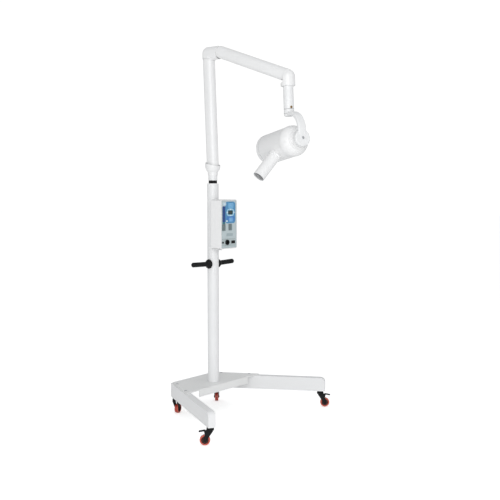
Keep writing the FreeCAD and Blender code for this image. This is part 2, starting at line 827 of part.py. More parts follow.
switch_case = front_cut("switch_case", "switch_x", "lower_row_drop", "switch_width",
                        "switch_height", "switch_depth")
well_half = "(switch_width / 2 - switch_wall)"
well_low, well_high = (f"{row_z} {sign} (switch_height / 2 - 2)" for sign in "-+")
switch_well = block("switch_well", ("switch_x - " + well_half, "switch_x + " + well_half),
                    ("box_front_y - 10", "box_front_y + switch_depth / 2"), (well_low, well_high))
switch_front = block("switch_front", ("switch_x - cut_reach", "switch_x + cut_reach"),
                     ("box_front_y - 20", "box_front_y - overlay_thickness - 0.6"),
                     (f"{row_z} - cut_reach", f"{row_z} + cut_reach"))
switch_pin = rod("switch_pin", "switch_pin_radius", well_low + " - 1", well_high + " + 1",
                 x="switch_x", y="box_front_y + switch_axis")
switch_hollow = cut("switch_hollow", switch_case, switch_well, switch_front)
finish("switch_frame", fuse("switch_frame", switch_hollow, switch_pin))

rocker_half = f"({well_half} - face_gap)"
rocker_plate = plate("rocker_plate", "XY_Plane", [
    (f"switch_x - {rocker_half} + rocker_swing", "box_front_y - rocker_proud"),
    ("switch_x", "box_front_y - 1.0"),
    (f"switch_x + {rocker_half}", "box_front_y - 2.0"),
    (f"switch_x + {rocker_half} - 2", "box_front_y + 3"),
    ("switch_x + 4", "box_front_y + 6.5"),
    ("switch_x - 4", "box_front_y + 6.5"),
    (f"switch_x - {rocker_half} + 2", "box_front_y + 2"),
], well_low + " + face_gap", well_high + " - face_gap")
rocker_bore = rod("rocker_bore", "switch_pin_radius + running_gap", f"{row_z} - cut_reach",
                  f"{row_z} + cut_reach", x="switch_x", y="box_front_y + switch_axis")
finish("rocker_switch", cut("rocker_switch", rocker_plate, rocker_bore))


def inlet_span(grow):
    """X span of the inlet, grown or shrunk on both sides."""
    return f"inlet_x - inlet_width / 2 - ({grow})", f"inlet_x + inlet_width / 2 + ({grow})"


inlet_foot = "box_bottom - inlet_proud"
inlet_body = block("inlet_body", inlet_span("-fit_gap"),
                   (inlet_low + " + fit_gap", inlet_high + " - fit_gap"),
                   (inlet_foot, "box_bottom + inlet_height"))
inlet_rim = block("inlet_rim", inlet_span("inlet_wall"), (inlet_low + " - 2", inlet_high + " + 2"),
                  (inlet_foot, "box_bottom"))
inlet_well = block("inlet_well", inlet_span("-inlet_wall"),
                   (inlet_low + " + inlet_wall", inlet_high + " - inlet_wall"),
                   ("box_bottom - 2", "box_bottom + 15"))
finish("power_inlet", cut("power_inlet", fuse("inlet_whole", inlet_body, inlet_rim), inlet_well))

bracket_foot = "(box_bottom - bracket_drop)"
bracket_plate = block("bracket_plate", ("-bracket_width / 2", "bracket_width / 2"),
                      ("box_rear_y", "box_rear_y + bracket_thickness"),
                      (bracket_foot, bracket_foot + " + bracket_height"))
bracket_saddle = block("bracket_saddle",
                       ("saddle_inset - bracket_width / 2", "bracket_width / 2 - saddle_inset"),
                       ("box_rear_y", "saddle_inset - column_radius"),
                       ("box_bottom + saddle_low", "box_bottom + saddle_high"))
bracket_seat = rod("bracket_seat", "column_radius", "box_bottom - 20", "box_top")
finish("control_bracket",
       cut("control_bracket", fuse("bracket_whole", bracket_plate, bracket_saddle), bracket_seat))

# Casters: a fixed stem and race, a swivelling fork with its axle, a wheel, and a brake on the front pair

CASTERS = (
    ("front_left", -1, "leg_length - caster_inset", "heading_front_left", True),
    ("front_right", 1, "leg_length - caster_inset", "heading_front_right", True),
    ("rear_left", -1, "caster_inset", "heading_rear_left", False),
    ("rear_right", 1, "caster_inset", "heading_rear_right", False),
)


def caster_frame(side, along, heading):
    """Frame on the floor under a caster's kingpin, with X along its trail."""
    x = f"{side} * (leg_half_spacing + ({along}) * sin(leg_splay))"
    y = f"leg_rear_y - ({along}) * cos(leg_splay)"
    return at(shift(x, y), turn("Z", heading))


stems = []
for word, side, along, heading, braked in CASTERS:
    frame = caster_frame(side, along, heading)
    stem = turned(f"stem_{word}", [
        ("axle_radius + running_gap", "caster_height - race_height"),
        ("crown_radius - 1", "caster_height - race_height"),
        ("crown_radius - 1", "caster_height - 2"),
        ("crown_radius - 5", "caster_height"),
        ("stem_radius", "caster_height"),
        ("stem_radius", "caster_height + stem_length"),
        ("0", "caster_height + stem_length"),
        ("0", "caster_height + 10"),
        ("axle_radius + running_gap", "caster_height + 10"),
    ])
    bind(stem, "Placement", frame)
    stems.append(stem)

    crown = rod(f"crown_{word}", "crown_radius", "fork_top - crown_height", "fork_top")
    kingpin = rod(f"kingpin_{word}", "axle_radius", "fork_top - 1", "caster_height + 9")
    cheeks = []
    for sign in (-1, 1):
        low, high = ("fork_half", "fork_half + fork_wall")
        if sign < 0:
            low, high = ("-fork_half - fork_wall", "-fork_half")
        cheek = plate(f"fork_{word}_{'near' if sign < 0 else 'far'}", "XZ_Plane", [
            ("-crown_radius + 5", "fork_top"),
            ("crown_radius - 2", "fork_top"),
            ("caster_trail + 8", "wheel_radius + 4"),
            ("caster_trail + 5", "wheel_radius - 8"),
            ("caster_trail - 6", "wheel_radius - 8"),
            ("caster_trail - 10", "wheel_radius + 2"),
            ("-crown_radius + 5", "fork_top - crown_height - 4"),
        ], low, high)
        cheeks.append(cheek)
    fork = fuse(f"fork_solid_{word}", crown, kingpin, *cheeks)
    axle = rod(f"axle_{word}", "axle_radius", "-fork_half - fork_wall - 2",
               "fork_half + fork_wall + 2", axis="Y", x="caster_trail", z="wheel_radius")
    fork_bore = rod(f"fork_bore_{word}", "axle_radius", "-cut_reach", "cut_reach", axis="Y",
                    x="caster_trail", z="wheel_radius")
    fork_bored = cut(f"fork_bored_{word}", fork, fork_bore)
    pieces = [fork_bored, axle]
    if braked:
        hinge = rod(f"hinge_{word}", "lever_hinge_radius", "-fork_half", "fork_half", axis="Y",
                    x="lever_hinge_x", z="lever_hinge_z")
        pieces[0] = fuse(f"fork_hinged_{word}", fork_bored, hinge)
    finish(f"fork_{word}", together(f"fork_{word}", *pieces), frame)

    tread = turned(f"tread_{word}", [
        ("axle_radius + running_gap", "-wheel_width / 2"),
        ("9", "-wheel_width / 2"),
        ("10", "4 - wheel_width / 2"),
        ("wheel_radius - 8", "4 - wheel_width / 2"),
        ("wheel_radius - 7", "-wheel_width / 2"),
        ("wheel_radius - 3", "-wheel_width / 2"),
        ("wheel_radius", "3.5 - wheel_width / 2"),
        ("wheel_radius", "wheel_width / 2 - 3.5"),
        ("wheel_radius - 3", "wheel_width / 2"),
        ("wheel_radius - 7", "wheel_width / 2"),
        ("wheel_radius - 8", "wheel_width / 2 - 4"),
        ("10", "wheel_width / 2 - 4"),
        ("9", "wheel_width / 2"),
        ("axle_radius + running_gap", "wheel_width / 2"),
    ])
    finish(f"wheel_{word}", tread, at(frame, shift("caster_trail", "0", "wheel_radius"), turn("X", 90)))

    if braked:
        tongue = plate(f"lever_tongue_{word}", "XZ_Plane", [
            ("lever_hinge_x - 4", "lever_hinge_z + 2.2"),
            ("lever_hinge_x + 6.5", "lever_hinge_z + 2.2"),
            ("lever_hinge_x + 15", "lever_hinge_z + 4.5"),
            ("lever_hinge_x + lever_length", "lever_hinge_z"),
            ("lever_hinge_x + lever_length - 1", "lever_hinge_z - lever_thickness"),
            ("lever_hinge_x + 16", "lever_hinge_z"),
            ("lever_hinge_x + 13", "lever_hinge_z - 14"),
            ("lever_hinge_x + 8", "lever_hinge_z - 14"),
            ("lever_hinge_x + 7", "lever_hinge_z - 3.2"),
            ("lever_hinge_x - 4", "lever_hinge_z - 3.2"),
        ], "face_gap - lever_width / 2 + 1", "lever_width / 2 - 1 - face_gap")
        hinge_bore = rod(f"lever_bore_{word}", "lever_hinge_radius + running_gap", "-cut_reach",
                         "cut_reach", axis="Y", x="lever_hinge_x", z="lever_hinge_z")
        finish(f"brake_lever_{word.split('_')[1]}", cut(f"lever_{word}", tongue, hinge_bore), frame)
finish("caster_stems", together("caster_stems", *stems))

# Arm swivel: a post in the column's bush, a lug for the lower arm and two outer cheeks

spigot = turned("post_spigot", [
    ("0", "column_top - bush_length"),
    ("spigot_radius", "column_top - bush_length"),
    ("spigot_radius", "neck_bottom"),
    ("neck_radius", "neck_bottom"),
    ("neck_radius", "neck_top"),
    ("0", "neck_top"),
])


def lug(name, y, z, low, x_low="-lug_half", x_high="lug_right_face"):
    """Upright lug with a round end at a pivot, from a level below it."""
    eye = rod(name + "_eye", "lug_radius", x_low, x_high, axis="X", y=y, z=z)
    leg_part = block(name + "_leg", (x_low, x_high), (f"{y} - lug_web / 2", f"{y} + lug_web / 2"), (low, z))
    return [eye, leg_part]


def link_pin(name, frame, along):
    """Stub that one eye of a link turns on, beside the lug."""
    stub = rod(name, "link_pin_radius", "lug_right_face - 3", "link_far + 1.5", axis="X")
    side = "-link_offset" if frame is LOWER_ARM else "link_offset"
    bind(stub, "Placement", at(frame, shift(y=side, z=along), turn("Y", 90), shift(z="lug_right_face - 3")))
    return stub


def link_ear(name, frame, along):
    """Round ear of the lug around a link's stub."""
    ear = rod(name, "link_eye_radius", "-lug_half", "lug_right_face", axis="X")
    side = "-link_offset" if frame is LOWER_ARM else "link_offset"
    bind(ear, "Placement", at(frame, shift(y=side, z=along), turn("Y", 90), shift(z="-lug_half")))
    return ear


def pin_bore(name, y, z):
    """Bore of a lug around its pivot pin."""
    return rod(name, "pivot_pin_radius + running_gap", "-cut_reach", "cut_reach", axis="X", y=y, z=z)


shoulder_lug = lug("shoulder_lug", "0", "shoulder_z", "neck_top - 1")
post_whole = fuse("post_whole", spigot, *shoulder_lug, link_ear("shoulder_ear", LOWER_ARM, "0"),
                  link_pin("shoulder_stub", LOWER_ARM, "0"))
finish("swivel_post", cut("swivel_post", post_whole, pin_bore("post_bore", "0", "shoulder_z")))

shoulder_outer = egg("shoulder_outer", "shoulder_radius", "shoulder_height", "shoulder_z")
shoulder_collar = rod("shoulder_collar", "neck_radius + shoulder_wall", "neck_top - 4",
                      "neck_top + 12")
shoulder_inner = egg("shoulder_inner", "shoulder_radius - shoulder_wall",
                     "shoulder_height - shoulder_wall", "shoulder_z")
shoulder_rim = plate("shoulder_rim", "YZ_Plane", [
    ("-shoulder_radius - 5", "shoulder_z - shoulder_rim_front"),
    ("shoulder_radius + 5", "shoulder_z + shoulder_rim_rear"),
    ("shoulder_radius + 5", "shoulder_z + 80"),
    ("-shoulder_radius - 5", "shoulder_z + 80"),
], "-shoulder_radius - 5", "shoulder_radius + 5")
post_room = rod("shoulder_post_room", "neck_radius", "neck_top - 60", "neck_top")
lug_room = block("shoulder_lug_room", ("-lug_half - face_gap", "lug_half"),
                 ("-lug_web / 2 - face_gap", "lug_web / 2 + face_gap"),
                 ("neck_top - 5", "neck_top + 20"))
finish("shoulder_cover", cut("shoulder_cover",
                             fuse("shoulder_whole", shoulder_outer, shoulder_collar),
                             shoulder_inner, shoulder_rim, post_room, lug_room))

# Arm sections: each a channel, two cover shells, a balance spring, a levelling link and two pins


def arm_solid(name, inset, length):
    """Long bar of the arm's oval section with round ends about both pivots, smaller by an inset."""
    radius = f"(drum_radius - {inset})"
    half = f"(arm_width / 2 - {inset})"
    corner = f"arm_corner - {inset}"
    ends = [soft_rod(f"{name}_end_{n}", radius, half, corner, z=z)
            for n, z in enumerate(("0", length))]
    bar = soft_block(name + "_bar", ("-" + half, half), ("-" + radius, radius), ("0", length),
                     corner, "z")
    return fuse(name, bar, *ends)


def arm(word, length, frame, link_side, end_slots):
    """The pieces of one arm section, in a frame with Z along it from its lower pivot."""
    outer = arm_solid(f"{word}_outer", "0", length)
    inner = arm_solid(f"{word}_inner", "arm_shell_wall", length)
    spans = [(("-cut_reach", "cut_reach"), ("-cut_reach", "-arm_slot_inner")),
             (("-cut_reach", "0"), ("-cut_reach", "-arm_slot_outer"))]
    spans += [(y, (f"{length} + ({low})", f"{length} + cut_reach")) for y, low in end_slots]
    slots = [block(f"{word}_slot_{n}", ("-slot_half", "slot_half"), y, z)
             for n, (y, z) in enumerate(spans)]
    shell = cut(f"{word}_shell", outer, inner, *slots)
    for side, low, high in (("left", "-cut_reach", "0"), ("right", "0", "cut_reach")):
        half = common(f"{word}_half_{side}", shell,
                      block(f"{word}_{side}_space", (low, high), ("-cut_reach", "cut_reach"),
                            ("-cut_reach", f"{length} + cut_reach")))
        reach = ("frame_width / 2", "arm_width / 2 - 1")
        if side == "left":
            reach = ("-arm_width / 2 + 1", "-frame_width / 2")
        bosses = [rod(f"{word}_{side}_boss_{n}", "5", *reach, axis="X", z=f"{length} * {share}")
                  for n, share in enumerate((0.3, 0.7))]
        finish(f"{word}_cover_{side}", fuse(f"{word}_cover_{side}", half, *bosses), frame)

    plan_ends = [rod(f"{word}_plan_end_{n}", "frame_thickness / 2", "-frame_width / 2",
                     "frame_width / 2", axis="X", z=z) for n, z in enumerate(("0", length))]
    plan_bar = block(f"{word}_plan_bar", ("-frame_width / 2", "frame_width / 2"),
                     ("-frame_thickness / 2", "frame_thickness / 2"), ("0", length))
    plan = fuse(f"{word}_frame_plan", plan_bar, *plan_ends)
    bore = block(f"{word}_frame_bore", ("-slot_half", "slot_half"),
                 ("frame_wall - frame_thickness / 2", "frame_thickness / 2 - frame_wall"),
                 ("-cut_reach", f"{length} + cut_reach"))
    ends = [block(f"{word}_frame_end_{n}", ("-slot_half", "slot_half"), ("-cut_reach", "cut_reach"), span)
            for n, span in enumerate((("-cut_reach", "frame_end_slot"),
                                      (f"{length} - frame_end_slot", f"{length} + cut_reach")))]
    pins = [rod(f"{word}_pin_hole_{n}", "pivot_pin_radius", "-cut_reach", "cut_reach", axis="X", z=z)
            for n, z in enumerate(("0", length))]
    channel = cut(f"{word}_channel", plan, bore, *ends, *pins)
    seats = []
    for n, z in enumerate(("spring_start - plate_thickness", "spring_end")):
        seat = block(f"{word}_seat_{n}", ("-slot_half", "lug_right_face"),
                     ("frame_wall - frame_thickness / 2", "frame_thickness / 2 - frame_wall"),
                     (z, f"{z} + plate_thickness"))
        seats.append(seat)
    guide = rod(f"{word}_guide", "spring_rod_radius", "spring_start - plate_thickness",
                "spring_end + 20", x="spring_x")
    finish(f"{word}_frame", fuse(f"{word}_frame", channel, *seats, guide), frame)

    pins = [rod(f"{word}_pin_{n}", "pivot_pin_radius", "-frame_width / 2 - 2",
                "frame_width / 2 + 2", axis="X", z=z)
            for n, z in enumerate(("0", length))]
    finish(f"{word}_pins", together(f"{word}_pins", *pins), frame)

    eyes = [rod(f"{word}_link_eye_{n}", "link_eye_radius", "link_near", "link_far", axis="X",
                y=link_side, z=z)
            for n, z in enumerate(("0", length))]
    strip = block(f"{word}_link_strip", ("link_near", "link_far"),
                  (f"{link_side} - link_rod_width / 2", f"{link_side} + link_rod_width / 2"), ("0", length))
    holes = [rod(f"{word}_link_hole_{n}", radius, "-cut_reach", "cut_reach", axis="X", y=link_side, z=z)
             for n, (z, radius) in enumerate((("0", "link_pin_radius + running_gap"),
                                              (length, "link_pin_radius + fit_gap")))]
    finish(f"{word}_link", cut(f"{word}_link", fuse(f"{word}_link_whole", strip, *eyes), *holes), frame)

    coil = Part.makeHelix(size("spring_pitch"), (size("spring_turns") - 1) * size("spring_pitch"),
                          size("spring_radius"))
    start = Vector(size("spring_radius"), 0, 0)
    section = Part.Wire(Part.makeCircle(size("spring_wire"), start, Vector(0, 1, 0)))
    spring = Part.Wire(coil.Edges).makePipeShell([section], True, True)
    made(f"{word}_spring", spring, at(frame, shift(x="spring_x", z="spring_start + spring_pitch / 2")))


arm("lower_arm", "lower_arm_length", LOWER_ARM, "-link_offset",
    [(("-cut_reach", "cut_reach"), "arm_slot_inner"), (("0", "cut_reach"), "arm_slot_outer")])
arm("upper_arm", "upper_arm_length", UPPER_ARM, "link_offset", [(("-cut_reach", "0"), "-arm_slot_under")])

# Elbow: a block that carries both arms' pivots, inside a rounded pipe bend

elbow_eyes = [rod("elbow_eye_low", "lug_radius", "-lug_half", "lug_right_face", axis="X",
                  y="elbow_y", z="elbow_z"),
              rod("elbow_eye_high", "lug_radius", "-lug_half", "lug_right_face", axis="X",
                  y="upper_y", z="upper_z")]
elbow_upright = block("elbow_upright", ("-lug_half", "lug_right_face"),
                      ("elbow_y - lug_web / 2", "elbow_y + lug_web / 2"),
                      ("elbow_z", "upper_z + lug_web / 2"))
elbow_level = block("elbow_level", ("-lug_half", "lug_right_face"),
                    ("upper_y", "elbow_y + lug_web / 2"),
                    ("upper_z - lug_web / 2", "upper_z + lug_web / 2"))
elbow_bar = rod("elbow_bar", "7", "-cover_inner", "cover_inner", axis="X", y="elbow_y", z="upper_z")
elbow_whole = fuse("elbow_whole", *elbow_eyes, elbow_upright, elbow_level, elbow_bar,
                   link_ear("elbow_ear_low", LOWER_ARM, "lower_arm_length"),
                   link_pin("elbow_stub_low", LOWER_ARM, "lower_arm_length"),
                   link_ear("elbow_ear_high", UPPER_ARM, "0"), link_pin("elbow_stub_high", UPPER_ARM, "0"))
finish("elbow_block", cut("elbow_block", elbow_whole, pin_bore("elbow_bore_low", "elbow_y", "elbow_z"),
                          pin_bore("elbow_bore_high", "upper_y", "upper_z")))


def elbow_bend(name, reach, half, corner):
    """Pipe bend of the arm's section: up from the lower pivot, round the corner to the upper one."""
    spots = (("elbow_y", "elbow_z"), ("elbow_y", "upper_z"), ("upper_y", "upper_z"))
    rounds = [soft_rod(f"{name}_round_{n}", reach, half, corner, y=y, z=z)
              for n, (y, z) in enumerate(spots)]
    wide = ("-" + half, half)
    rising = soft_block(name + "_rising", wide, (f"elbow_y - {reach}", f"elbow_y + {reach}"),
                        ("elbow_z", "upper_z"), corner, "z")
    level = soft_block(name + "_level", wide, ("upper_y", "elbow_y"),
                       (f"upper_z - {reach}", f"upper_z + {reach}"), corner, "y")
    return fuse(name, *rounds, rising, level)


elbow_outer = elbow_bend("elbow_outer", "wall_reach", "cover_outer", "wall_corner")
elbow_room = elbow_bend("elbow_room", "room_reach", "cover_inner", "room_corner")
mouth_low = block("elbow_mouth_low", ("-cut_reach", "cut_reach"), ("elbow_y - 80", "elbow_y + 80"),
                  ("elbow_z - 80", "upper_z - wall_reach - 1.5"))
mouth_rear = block("elbow_mouth_rear", ("-cut_reach", "cut_reach"), ("elbow_y - 24", "elbow_y + 80"),
                   ("elbow_z - 80", "elbow_z + elbow_mouth_rise"))
mouth_high = block("elbow_mouth_high", ("-cut_reach", "cut_reach"),
                   ("upper_y - 80", "upper_y + elbow_mouth_reach"),
                   ("upper_z - 80", "upper_z + 80"))
finish("elbow_cover", cut("elbow_cover", elbow_outer, elbow_room, mouth_low, mouth_rear, mouth_high))

# Wrist: a block on the upper arm's end pin, its cover and the tube that hangs from it

wrist_eye = rod("wrist_eye", "lug_radius", "-lug_half", "lug_right_face", axis="X")
wrist_web = block("wrist_web", ("-lug_half", "lug_right_face"),
                  ("-drop_offset - lug_web / 2", "lug_web / 2 - 2"), ("-40", "0"))
wrist_disc = rod("wrist_disc", "drop_radius + 4", "-wrist_collar_drop + 6", "-38", y="-drop_offset")
wrist_spigot = rod("wrist_spigot", "drop_radius - drop_wall", "-wrist_collar_drop - 22",
                   "-wrist_collar_drop + 7", y="-drop_offset")
wrist_pin_side = at(turn("X", "90 + upper_arm_droop + wrist_lean"), shift(y="link_offset"), turn("Y", 90))
wrist_ear = rod("wrist_ear", "link_eye_radius", "0", "lug_right_face + lug_half")
bind(wrist_ear, "Placement", at(wrist_pin_side, shift(z="-lug_half")))
wrist_stub = rod("wrist_stub", "link_pin_radius", "0", "link_far + 4.5 - lug_right_face")
bind(wrist_stub, "Placement", at(wrist_pin_side, shift(z="lug_right_face - 3")))
wrist_whole = fuse("wrist_whole", wrist_eye, wrist_web, wrist_disc, wrist_spigot, wrist_ear, wrist_stub)
finish("wrist_block", cut("wrist_block", wrist_whole, pin_bore("wrist_bore", "0", "0")), WRIST)

cover_drum = soft_rod("wrist_cover_drum", "wall_reach", "cover_outer", "wall_corner")
cover_pipe = rod("wrist_cover_pipe", "wrist_radius", "-wrist_collar_drop", "-wrist_dome_drop",
                 y="-drop_offset")
cover_dome = ball("wrist_cover_dome", "wrist_radius", y="-drop_offset", z="-wrist_dome_drop")
cover_solid = fuse("wrist_cover_solid", cover_drum, cover_pipe, cover_dome)
arm_room = soft_rod("wrist_arm_room", "room_reach", "cover_inner", "room_corner")
block_room = rod("wrist_block_room", "drop_radius + 4", "-wrist_collar_drop + 6", "-22",
                 y="-drop_offset")
swing_room = plate("wrist_swing_room", "YZ_Plane", [
    ("0", "-room_reach"),
    ("70", "-room_reach - 26"),
    ("90", "cut_reach"),
    ("-70", "cut_reach"),
    ("-cut_reach", "42"),
    ("0", "0"),
], "-cut_reach", "cut_reach")
tube_room = rod("wrist_tube_room", "drop_radius", "-wrist_collar_drop - 1",
                "-wrist_collar_drop + 7", y="-drop_offset")
finish("wrist_cover", cut("wrist_cover", cover_solid, arm_room, block_room, swing_room, tube_room),
       WRIST)

drop_outer = rod("drop_outer", "drop_radius", "-drop_end", "-wrist_collar_drop + 6",
                 y="-drop_offset")
drop_inner = rod("drop_inner", "drop_radius - drop_wall", "-drop_end + 30",
                 "-wrist_collar_drop + 8", y="-drop_offset")
drop_bore = rod("drop_bore", "hub_pin_radius + running_gap", "-drop_end - 1", "-drop_end + 40",
                y="-drop_offset")
finish("drop_tube", cut("drop_tube", drop_outer, drop_inner, drop_bore), WRIST)

# Yoke: a bent one-sided arm from the hub under the drop tube to the boss that the head tilts on


def tilt_point(along):
    """Point of the head's long axis in the yoke's frame, so far from the drop tube's axis."""
    dip = math.radians(size("yoke_dip"))
    return Vector(0, along * math.cos(dip), -size("tilt_level") - along * math.sin(dip))


def yoke_path():
    """Line through the arm's middle: out from the hub, round one bend and down to the boss."""
    bend = size("yoke_bend")
    level = -size("yoke_centre")
    last = tilt_point(-size("yoke_reach"))
    before = Vector(0, last.y + bend, level)
    after = Vector(0, last.y, level - bend)
    chord = bend * (1 - math.cos(math.radians(45)))
    between = Vector(0, last.y + chord, level - chord)
    edges = [Part.makeLine(Vector(0, 0, level), before),
             Part.Arc(before, between, after).toShape(), Part.makeLine(after, last)]
    return Part.Wire(edges)


def yoke_section():
    """Rounded section across the path's start."""
    half_width = size("yoke_width") / 2
    half_thick = size("yoke_thickness") / 2
    radius = half_thick * 0.8
    start = Vector(-half_width, 0, -half_thick - size("yoke_centre"))
    flat = Part.makePlane(2 * half_width, 2 * half_thick, start, Vector(0, -1, 0), Vector(1, 0, 0))
    tall = flat.extrude(Vector(0, -1, 0))
    edges = [e for e in tall.Edges if abs(e.Vertexes[-1].Point.y - e.Vertexes[0].Point.y) > 0.5]
    soft = tall.makeFillet(radius, edges)
    face = [f for f in soft.Faces if abs(f.CenterOfMass.y) < 0.01][0]
    return face.OuterWire


yoke_bar = Part.Wire(yoke_path().Edges).makePipeShell([yoke_section()], True, False)
yoke_hub = Part.makeCylinder(size("drop_radius"), size("hub_length"), Vector(0, 0, -size("hub_bottom")))
foot_edges = [e for e in yoke_hub.Edges if abs(e.CenterOfMass.z + size("hub_bottom")) < 0.01]
yoke_hub = yoke_hub.makeFillet(size("drop_radius") * 0.3, foot_edges)
yoke_pin = Part.makeCylinder(size("hub_pin_radius"), size("hub_pin_length"),
                             Vector(0, 0, -size("hub_top") - 1))
along_head = tilt_point(1) - tilt_point(0)
boss_start = tilt_point(-size("yoke_reach") - size("yoke_thickness") / 2)
yoke_boss = Part.makeCylinder(size("yoke_boss_radius"), size("yoke_thickness"), boss_start, along_head)
yoke_boss = yoke_boss.makeFillet(5, [e for e in yoke_boss.Edges
                                     if (e.CenterOfMass - boss_start).Length < 0.01])
tilt_pin = Part.makeCylinder(size("tilt_pin_radius"), size("yoke_thickness") - 4 + size("tilt_pin_length"),
                             boss_start + along_head * 4, along_head)
made("yoke_arm", yoke_bar.fuse([yoke_hub, yoke_pin, yoke_boss, tilt_pin]).removeSplitter(), YOKE)

# Tube head: a housing with a domed near end, an end cap, the cone and what makes the beam


def head_profile(inset):
    """Half outline of the head along its long axis, smaller all round by an inset."""
    radius = size("head_radius") - inset
    near = -size("head_near") + inset
    far = size("head_far") - inset
    dome = size("head_dome")
    shoulder = Vector(0, near, size("head_end_radius") - inset)
    waist = Vector(0, near + dome, radius)
    rise = waist.z - shoulder.z
    between = Vector(0, near + dome * (1 - math.cos(math.radians(45))),
                     shoulder.z + rise * math.sin(math.radians(45)))
    chamfer = size("head_chamfer")
    back = Vector(0, far - chamfer * 0.8, radius)
    end = Vector(0, far, radius - chamfer)
    corners = [Vector(0, near, 0), shoulder]
    edges = [Part.makeLine(*corners), Part.Arc(shoulder, between, waist).toShape(),
             Part.makeLine(waist, back), Part.makeLine(back, end),
             Part.makeLine(end, Vector(0, far, 0)),
             Part.makeLine(Vector(0, far, 0), corners[0])]
    return Part.Face(Part.Wire(edges)).revolve(Vector(), Vector(0, 1, 0), 360)


def along_axis(radius, low, high):
    """Cylinder along the head's long axis."""
    return Part.makeCylinder(radius, high - low, Vector(0, low, 0), Vector(0, 1, 0))


def along_beam(radius, low, high):
    """Cylinder along the beam, at the cone's place on the head."""
    return Part.makeCylinder(radius, high - low, Vector(0, size("cone_at"), -low), Vector(0, 0, -1))


outer = head_profile(0)
hollow = head_profile(size("head_wall"))
seam = size("head_seam")
near_neck = along_axis(size("head_neck_radius"), -size("neck_face"), -size("head_near") + 12)
boss = along_beam(size("cone_boss_radius"), size("head_radius") - 14, size("cone_seat"))
beyond = 2 * size("head_far")
body = outer.cut(along_axis(beyond, seam, beyond)).fuse([near_neck, boss]).cut(hollow)
body = body.cut(along_axis(size("tilt_pin_radius") + size("running_gap"), -size("neck_face") - 1,
                           -size("neck_face") + size("tilt_pin_length") + 2))
body = body.cut(along_beam(size("cone_radius") - size("cone_wall"), 20, size("cone_seat") + 1))
made("head_housing", body.removeSplitter(), HEAD)

lip = along_axis(size("head_bore") - size("fit_gap"), seam - 8, seam + 2).cut(
    along_axis(size("head_bore") - size("head_wall"), seam - 9, seam + 3))
cap = outer.cut(along_axis(beyond, -beyond, seam)).cut(hollow).fuse(lip)
made("head_end_cap", cap.removeSplitter(), HEAD)

cone_outer = along_beam(size("cone_radius"), size("cone_seat"), size("cone_tip"))
cone_inner = along_beam(size("cone_radius") - size("cone_wall"), size("cone_seat") - 1, size("cone_tip") + 1)
made("cone", cone_outer.cut(cone_inner), HEAD)

filter_disc = along_beam(size("cone_radius") - size("cone_wall") - size("fit_gap"),
                         size("cone_seat") - size("filter_thickness"), size("cone_seat"))
made("beam_filter", filter_disc.cut(along_beam(size("beam_radius"), 0, beyond)), HEAD)

plate_at = size("cone_at") + size("insert_length") / 2
tank_start = plate_at + size("tank_plate")
tank_disc = along_axis(size("head_bore") - size("face_gap"), plate_at, tank_start)
half = size("tank_half_width")
tank_core = Part.makeBox(2 * half, size("tank_length"), 2 * half, Vector(-half, tank_start, -half))
made("head_transformer", tank_disc.fuse(tank_core).removeSplitter(), HEAD)

glass_end = plate_at
glass_start = glass_end - size("insert_length")
glass = along_axis(size("insert_radius"), glass_start + 8, glass_end - 8)
stubs = along_axis(size("insert_radius") * 0.6, glass_start, glass_end)
insert = glass.fuse(stubs)
made("xray_insert", insert.removeSplitter(), HEAD)

# Checks, then one file for each sub-part

doc.recompute()
faults = [o.Name for o in doc.Objects if "Invalid" in o.State or "Error" in o.State]
if faults:
    raise SystemExit("objects in error: " + ", ".join(faults))
for thing in PARTS:
    shape = thing.Shape
    if shape.isNull() or not shape.isValid() or not shape.Solids:
        raise SystemExit("bad shape: " + thing.Label)
for thing in PARTS:
    thing.Shape.exportStep(f"parts/{thing.Label}.step")
print(len(PARTS), "sub-parts")
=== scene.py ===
# %% [markdown]
# # Dressing a mobile x-ray unit
# The object is a dental x-ray unit on a castored V base: a steel column, a control box, a balanced arm of
# two sections and a tube head that hangs from a yoke. The mechanical solids come from the CAD model. This
# script gives every one of them its real finish, and adds what is too fine for the solids: moulded treads,
# ribbed grips, membrane keys, screws and seams. Everything is in metres, in the CAD model's own frame.

import json
import math

import bmesh
import bpy
import numpy as np
from mathutils import Matrix


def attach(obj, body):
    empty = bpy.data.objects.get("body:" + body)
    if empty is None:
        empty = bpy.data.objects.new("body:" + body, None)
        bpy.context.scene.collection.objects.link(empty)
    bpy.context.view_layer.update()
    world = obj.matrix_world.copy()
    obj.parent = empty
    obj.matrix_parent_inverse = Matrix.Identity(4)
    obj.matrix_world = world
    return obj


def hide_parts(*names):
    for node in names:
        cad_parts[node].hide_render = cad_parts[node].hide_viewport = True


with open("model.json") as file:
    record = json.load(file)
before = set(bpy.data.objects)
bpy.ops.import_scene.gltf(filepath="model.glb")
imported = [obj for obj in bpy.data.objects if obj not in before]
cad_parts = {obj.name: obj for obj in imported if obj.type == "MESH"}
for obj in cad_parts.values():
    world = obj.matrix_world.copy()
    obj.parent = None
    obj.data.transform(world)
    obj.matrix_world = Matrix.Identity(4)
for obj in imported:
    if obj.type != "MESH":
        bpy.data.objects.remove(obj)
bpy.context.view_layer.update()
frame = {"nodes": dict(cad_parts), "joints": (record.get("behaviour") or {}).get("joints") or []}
NODES = frame["nodes"]
JOINTS = {joint["name"]: joint for joint in frame["joints"]}
MM = 0.001

# %% [markdown]
# ## How new pieces are shaped
# Almost everything that is added here is round: treads, grips, screw heads, key domes. Each could be made
# with a Spin or Screw modifier, but a grid of points that numpy works out in one go is exact and easy to
# read: rows follow a profile and columns go round it. Where it shows, the corners of a profile are softened
# first, as a mould softens them.

# %% Grids of points


